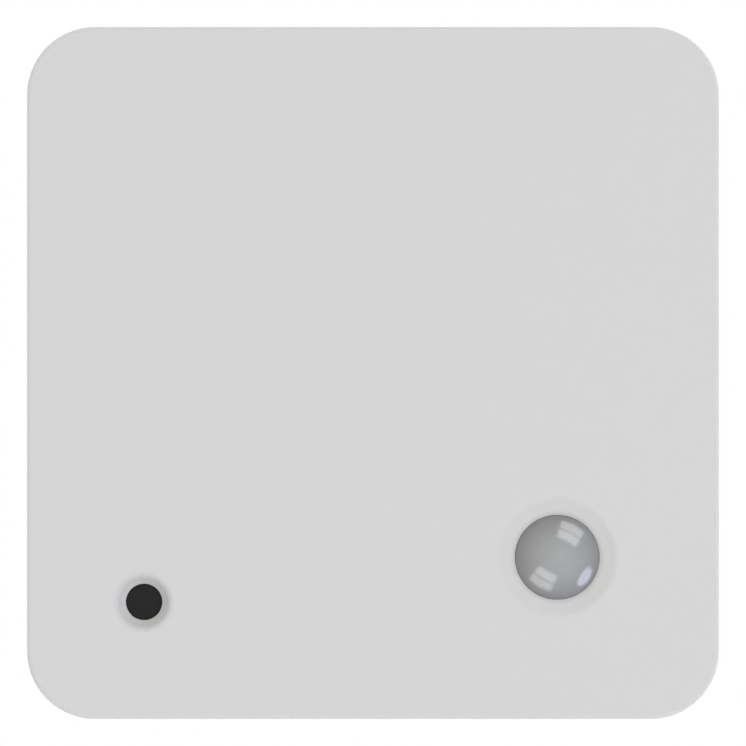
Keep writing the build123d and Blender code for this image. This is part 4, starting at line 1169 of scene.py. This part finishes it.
        on_front = {"face": self.front, "up": 1}
        pins = centre_of("header_pins")
        for column in (-1, 0, 1):
            for row in (-0.5, 0.5):
                x, z = pins.x + PIN_PITCH * MM * column, pins.z + PIN_PITCH * MM * row
                fillet(x, z, 0.85, 0.4, 0.8, **on_front)
        can = centre_of("pir_can")
        for x, z in ((PIN_PITCH, 0), (0, PIN_PITCH), (-PIN_PITCH, 0)):
            fillet(can.x + x * MM, can.z + z * MM, 0.75, 0.24, 0.8)
        for row in ("upper", "lower"):
            for pole in ("negative", "positive"):
                x = math.copysign(27.78 * MM, centre_of(f"{pole}_terminal_{row}").x)
                fillet(x, centre_of(f"cell_holder_{row}").z, 1.3, 0.6, 0.8, **on_front)
        low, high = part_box("radio_board")
        middle = (low.z + high.z) / 2
        for x, way in ((low.x, -1), (high.x, 1)):
            for step in range(-3, 4):
                fillet(x + way * 0.1 * MM, middle + 2.0 * MM * step, 0.55, 0.2, 0.7)
        low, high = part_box("switch_frame")
        for x in (low.x, high.x):
            for z in (low.z + 0.35 * MM, high.z - 0.35 * MM):
                fillet(x, z, 0.6, 0.3, 0.5)
        low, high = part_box("antenna")
        for step in (0.8, 5.8):
            fillet(high.x - 1.1 * MM, low.z + step * MM, 1.35, 1.1, 0.3)
        can = centre_of("capacitor_base")
        for way in (-1, 1):
            block(mesh, can.x, can.z + way * 3.6 * MM, 0.8 * MM, 1.2 * MM, *self.printed(0.2 * MM))
        for node, count, pitch, all_round in (
            ("microcontroller", 11, 0.55, True), ("air_sensor", 3, 0.7, False)
        ):
            low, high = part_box(node)
            middle = (low + high) / 2
            out = (high.x - low.x) / 2 + 0.05 * MM
            pad = (0.3 * MM, 0.26 * MM)
            heights = self.printed(0.16 * MM)
            for step in range(count):
                along = pitch * MM * (step - (count - 1) / 2)
                for way in (-1, 1):
                    block(mesh, middle.x + way * out, middle.z + along, *pad, *heights)
                    if all_round:
                        block(mesh, middle.x + along, middle.z + way * out, *pad[::-1], *heights)


class SENSOR_OT_screws(Operator):
    """Dress the four screws that hold the board"""

    bl_idname = "room_sensor.screws"
    bl_label = "Board screws"

    def execute(self, context):
        dress(finish("Zinc plated steel"), "board_screws")
        return {"FINISHED"}


class SENSOR_OT_detector(Operator):
    """Dress the motion detector's can, filter, element and leads"""

    bl_idname = "room_sensor.detector"
    bl_label = "Motion detector"

    def execute(self, context):
        dress(finish("Nickel plate"), "pir_can")
        dress(finish("Filter glass"), "pir_filter")
        dress(finish("Fired element"), "pir_element")
        dress(finish("Plated lead"), "pir_leads")
        return {"FINISHED"}


class SENSOR_OT_chips(Operator):
    """Build the resistors and capacitors, and dress the chips, the crystal and the status light"""

    bl_idname = "room_sensor.chips"
    bl_label = "Chips"

    def execute(self, context):
        black = ("microcontroller", "air_sensor", "switch_body", "header_block", "capacitor_base")
        dress(finish("Chip plastic"), *black)
        dress(finish("Sensor plastic"), "light_sensor")
        dress(finish("Nickel plate"), "crystal")
        dress(finish("Light resin"), "status_led")
        tin = finish("Soldered tin")
        for name, material, slot, sideways in (
            ("resistor", "Resistor glaze", "resistor_glaze", True),
            ("capacitor", "Capacitor ceramic", "capacitor_ceramic", False),
        ):
            node = f"board_{name}s"
            bodies, ends = self.chips_at(node, sideways)
            piece(
                f"{name}_bodies",
                FRONT_UNIT,
                finish(material),
                bodies,
                replaces=(node,),
                edge=0.03 * MM,
            )
            piece(f"{name}_ends", FRONT_UNIT, tin, ends, edge=0.06 * MM)
        return {"FINISHED"}

    def chips_at(self, node, sideways):
        """Two building functions, for the bodies and the plated ends of eight like chips."""
        low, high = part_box(node)
        middle = (low + high) / 2
        back, top = -high.y, -low.y
        long, short, cap, inset = 1.6 * MM, 0.8 * MM, 0.32 * MM, 0.03 * MM
        span = high.x - low.x if sideways else high.z - low.z
        out = (span - long) / 2

        def turn(along, across):
            """Lengths along a chip and across it, as lengths to the right and up."""
            return (along, across) if sideways else (across, along)

        places = []
        for number in range(4):
            for way in (-1, 1):
                x, z = turn(way * out, CHIP_PITCH * MM * (number - 1.5))
                places.append((middle.x + x, middle.z + z))

        def bodies(mesh):
            for x, z in places:
                size = turn(long - 0.2 * MM, short - inset)
                block(mesh, x, z, *size, top, back - inset * 1.5)

        def ends(mesh):
            for x, z in places:
                for way in (-1, 1):
                    right, up = turn(way * (long - cap) / 2, 0)
                    block(mesh, x + right, z + up, *turn(cap, short), top + 0.02 * MM, back)

        return bodies, ends


class SENSOR_OT_radio(Operator):
    """Dress the radio module, its shield and the antenna"""

    bl_idname = "room_sensor.radio"
    bl_label = "Radio"

    def execute(self, context):
        dress(finish("Radio mask"), "radio_board")
        dress(finish("Nickel plate"), "radio_shield")
        dress(finish("Tin plate"), "antenna")
        return {"FINISHED"}


class SENSOR_OT_capacitor(Operator):
    """Dress the buffer capacitor's can, and print the mark on its end"""

    bl_idname = "room_sensor.capacitor"
    bl_label = "Buffer capacitor"

    def execute(self, context):
        dress(finish("Drawn aluminium"), "buffer_capacitor")
        middle = centre_of("buffer_capacitor")
        end = -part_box("buffer_capacitor")[1].y
        radius, start, steps = 2.7 * MM, math.radians(35), 16

        def print_patch(mesh):
            angles = [start + step * (math.pi - 2 * start) / steps for step in range(steps + 1)]
            points = [
                (middle.x + radius * math.cos(angle), middle.z + radius * math.sin(angle))
                for angle in angles
            ]
            slab(mesh, points, end + 0.02 * MM, end - 0.008 * MM)

        piece("capacitor_print", FRONT_UNIT, finish("Capacitor ink"), print_patch)
        return {"FINISHED"}


class SENSOR_OT_header(Operator):
    """Dress the service header's pins"""

    bl_idname = "room_sensor.header"
    bl_label = "Service header"

    def execute(self, context):
        dress(finish("Gold plate"), "header_pins")
        return {"FINISHED"}


class SENSOR_OT_switch(Operator):
    """Dress the reset switch, and add the rivets of its frame"""

    bl_idname = "room_sensor.switch"
    bl_label = "Reset switch"

    def execute(self, context):
        dress(finish("Nickel plate"), "switch_frame")
        dress(finish("Plunger plastic"), "reset_plunger")
        middle = centre_of("switch_body")
        top = -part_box("switch_frame")[1].y
        out = 2.35 * MM
        shape = ((0, 0.1), (0.45, 0.1), (0.45, -0.06), (0.38, -0.14), (0.2, -0.18), (0, -0.19))
        profile = [(r * MM, top + h * MM) for r, h in shape]

        def rivets(mesh):
            for i, j in CORNERS:
                turned(mesh, profile, on_wall(middle.x + i * out, middle.z + j * out), 20)

        piece("switch_rivets", FRONT_UNIT, finish("Chip plastic"), rivets)
        return {"FINISHED"}


class SENSOR_OT_holders(Operator):
    """Dress the cell holders"""

    bl_idname = "room_sensor.holders"
    bl_label = "Cell holders"

    def execute(self, context):
        dress(finish("Holder plastic"), "cell_holder_upper", "cell_holder_lower")
        return {"FINISHED"}


class SENSOR_OT_terminals(Operator):
    """Dress the cell terminals"""

    bl_idname = "room_sensor.terminals"
    bl_label = "Terminals"

    def execute(self, context):
        for row in ("upper", "lower"):
            dress(finish("Terminal steel"), f"negative_terminal_{row}", f"positive_terminal_{row}")
        return {"FINISHED"}


class SENSOR_OT_springs(Operator):
    """Wind the conical cell springs from round wire"""

    bl_idname = "room_sensor.springs"
    bl_label = "Cell springs"

    def execute(self, context):
        wire_radius, turns, steps = 0.34 * MM, 3.6, 32
        wide, narrow = 4.55 * MM, 2.7 * MM
        flat_turns, climbing_turns, narrowing_turns = 0.45, turns - 0.8, turns - 0.3
        for row, facing_way in (("upper", 1), ("lower", -1)):
            low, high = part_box(f"cell_spring_{row}")
            axis = centre_of(f"cell_{row}")
            base = low.x if facing_way > 0 else high.x
            span = high.x - low.x

            def coil(mesh):
                points = []
                for step in range(int(turns * steps) + 1):
                    turn = step / steps
                    climb = min(max(turn - flat_turns, 0.0) / climbing_turns, 1.0)
                    radius = wide + (narrow - wide) * min(turn / narrowing_turns, 1.0)
                    along = wire_radius + (span - 2 * wire_radius) * climb
                    angle = 2 * math.pi * turn
                    y, z = axis.y + radius * math.cos(angle), axis.z + radius * math.sin(angle)
                    points.append(Vector((base + facing_way * along, y, z)))
                wire(mesh, points, wire_radius, 14)

            made = piece(
                f"spring_coil_{row}",
                FRONT_UNIT,
                finish("Spring wire"),
                coil,
                replaces=(f"cell_spring_{row}",),
            )
            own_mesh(made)
        return {"FINISHED"}


class SENSOR_OT_cells(Operator):
    """Turn the cells: a printed sleeve over a steel can, with a washer round the positive cap"""

    bl_idname = "room_sensor.cells"
    bl_label = "Cells"

    def execute(self, context):
        low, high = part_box("cell_upper")
        half_length, radius = (high.x - low.x) / 2, (high.z - low.z) / 2
        sleeve = sleeve_finish(context.scene.sensor_cells, half_length, radius)
        forms = (
            ("sleeve", sleeve, "cell_jacket", self.sleeve(half_length, radius), 96, 50.0),
            ("can", finish("Can steel"), "cap_steel", self.can(half_length, radius), 96, 30.0),
            ("washer", finish("Washer card"), "cell_jacket", self.washer(half_length), 64, 30.0),
        )
        for row, facing_way in (("upper", 1), ("lower", -1)):
            turn = Matrix.Rotation(facing_way * math.pi / 2, 4, "Y")
            place = Matrix.Translation(centre_of(f"cell_{row}")) @ turn
            for name, material, slot, profile, sides, sharp in forms:
                piece(
                    f"cell_{name}_{row}",
                    f"{row}_cell",
                    material,
                    lambda mesh: turned(mesh, profile, ON_AXIS, sides),
                    replaces=(f"cell_{row}",) if name == "sleeve" else (),
                    sharp=sharp,
                    place=place,
                )
        dress(finish("Can steel"), "cell_cap_upper", "cell_cap_lower")
        return {"FINISHED"}

    def sleeve(self, end, radius):
        """Profile of the sleeve, from the negative end outside and back inside."""
        skin = 0.09 * MM
        foot = ((5.9, 0.02), (6.35, 0.0), (6.8, 0.08), (7.1, 0.3))
        outer = [(r * MM, h * MM - end) for r, h in foot]
        outer.append((radius, 0.75 * MM - end))
        groove = ((0.0, 4.2), (0.16, 3.7), (0.24, 3.2), (0.16, 2.7), (0.0, 2.2))
        shoulder = ((0.0, 0.8), (0.18, 0.35), (0.5, 0.08))
        outer += [(radius - depth * MM, end - below * MM) for depth, below in groove + shoulder]
        outer += [(6.1 * MM, end), (5.2 * MM, end - 0.02 * MM)]
        inner = [
            (r - skin if r > 6.5 * MM else r, h + (skin if h < 0 else -skin))
            for r, h in reversed(outer)
        ]
        return outer + inner

    def can(self, end, radius):
        """Profile of the can, with its pressed foot and the groove under its seal."""
        wall = radius - 0.12 * MM
        pressed = ((0.0, 0.16), (3.2, 0.16), (3.5, 0.06))
        profile = [(r * MM, h * MM - end) for r, h in pressed]
        foot = ((0.9, 0.06), (0.3, 0.35), (0.0, 0.9))
        profile += [(wall - depth * MM, above * MM - end) for depth, above in foot]
        head = ((0.0, 4.4), (0.22, 3.2), (0.0, 2.0), (0.0, 0.9), (0.6, 0.2))
        profile += [(wall - depth * MM, end - below * MM) for depth, below in head]
        return profile + [(0, end - 0.2 * MM)]

    def washer(self, end):
        inner, outer, low, high = 2.8 * MM, 5.6 * MM, end - 0.25 * MM, end - 0.1 * MM
        return [(inner, low), (outer, low), (outer, high), (inner, high)]


class SENSOR_PT_pieces(Panel):
    """The pieces of the sensor, in the order they are built"""

    bl_idname = "SENSOR_PT_pieces"
    bl_label = "Room sensor"
    bl_space_type = "VIEW_3D"
    bl_region_type = "UI"
    bl_category = "Room sensor"

    def draw(self, context):
        for builder in BUILDERS:
            self.layout.operator(builder.bl_idname)
        for name in SETTINGS:
            group = getattr(context.scene, name)
            box = self.layout.box()
            for key in group.__annotations__:
                box.prop(group, key)


SETTINGS = {
    "sensor_cover": CoverSettings,
    "sensor_lens": LensSettings,
    "sensor_board": BoardSettings,
    "sensor_cells": CellSettings,
    "sensor_stage": StageSettings,
}
BUILDERS = (
    SENSOR_OT_effects,
    SENSOR_OT_stage,
    SENSOR_OT_cover,
    SENSOR_OT_plate,
    SENSOR_OT_lens,
    SENSOR_OT_window,
    SENSOR_OT_chips,
    SENSOR_OT_board,
    SENSOR_OT_screws,
    SENSOR_OT_detector,
    SENSOR_OT_radio,
    SENSOR_OT_capacitor,
    SENSOR_OT_header,
    SENSOR_OT_switch,
    SENSOR_OT_holders,
    SENSOR_OT_terminals,
    SENSOR_OT_springs,
    SENSOR_OT_cells,
)


def register():
    for group in (*SETTINGS.values(), *BUILDERS, SENSOR_PT_pieces):
        bpy.utils.register_class(group)
    for name, group in SETTINGS.items():
        setattr(bpy.types.Scene, name, PointerProperty(type=group))


def unregister():
    for name in SETTINGS:
        delattr(bpy.types.Scene, name)
    for group in (SENSOR_PT_pieces, *reversed(BUILDERS), *reversed(SETTINGS.values())):
        bpy.utils.unregister_class(group)


def main():
    register()
    for builder in BUILDERS:
        getattr(bpy.ops.room_sensor, builder.bl_idname.split(".")[1])()


if __name__ == "__main__":
    main()
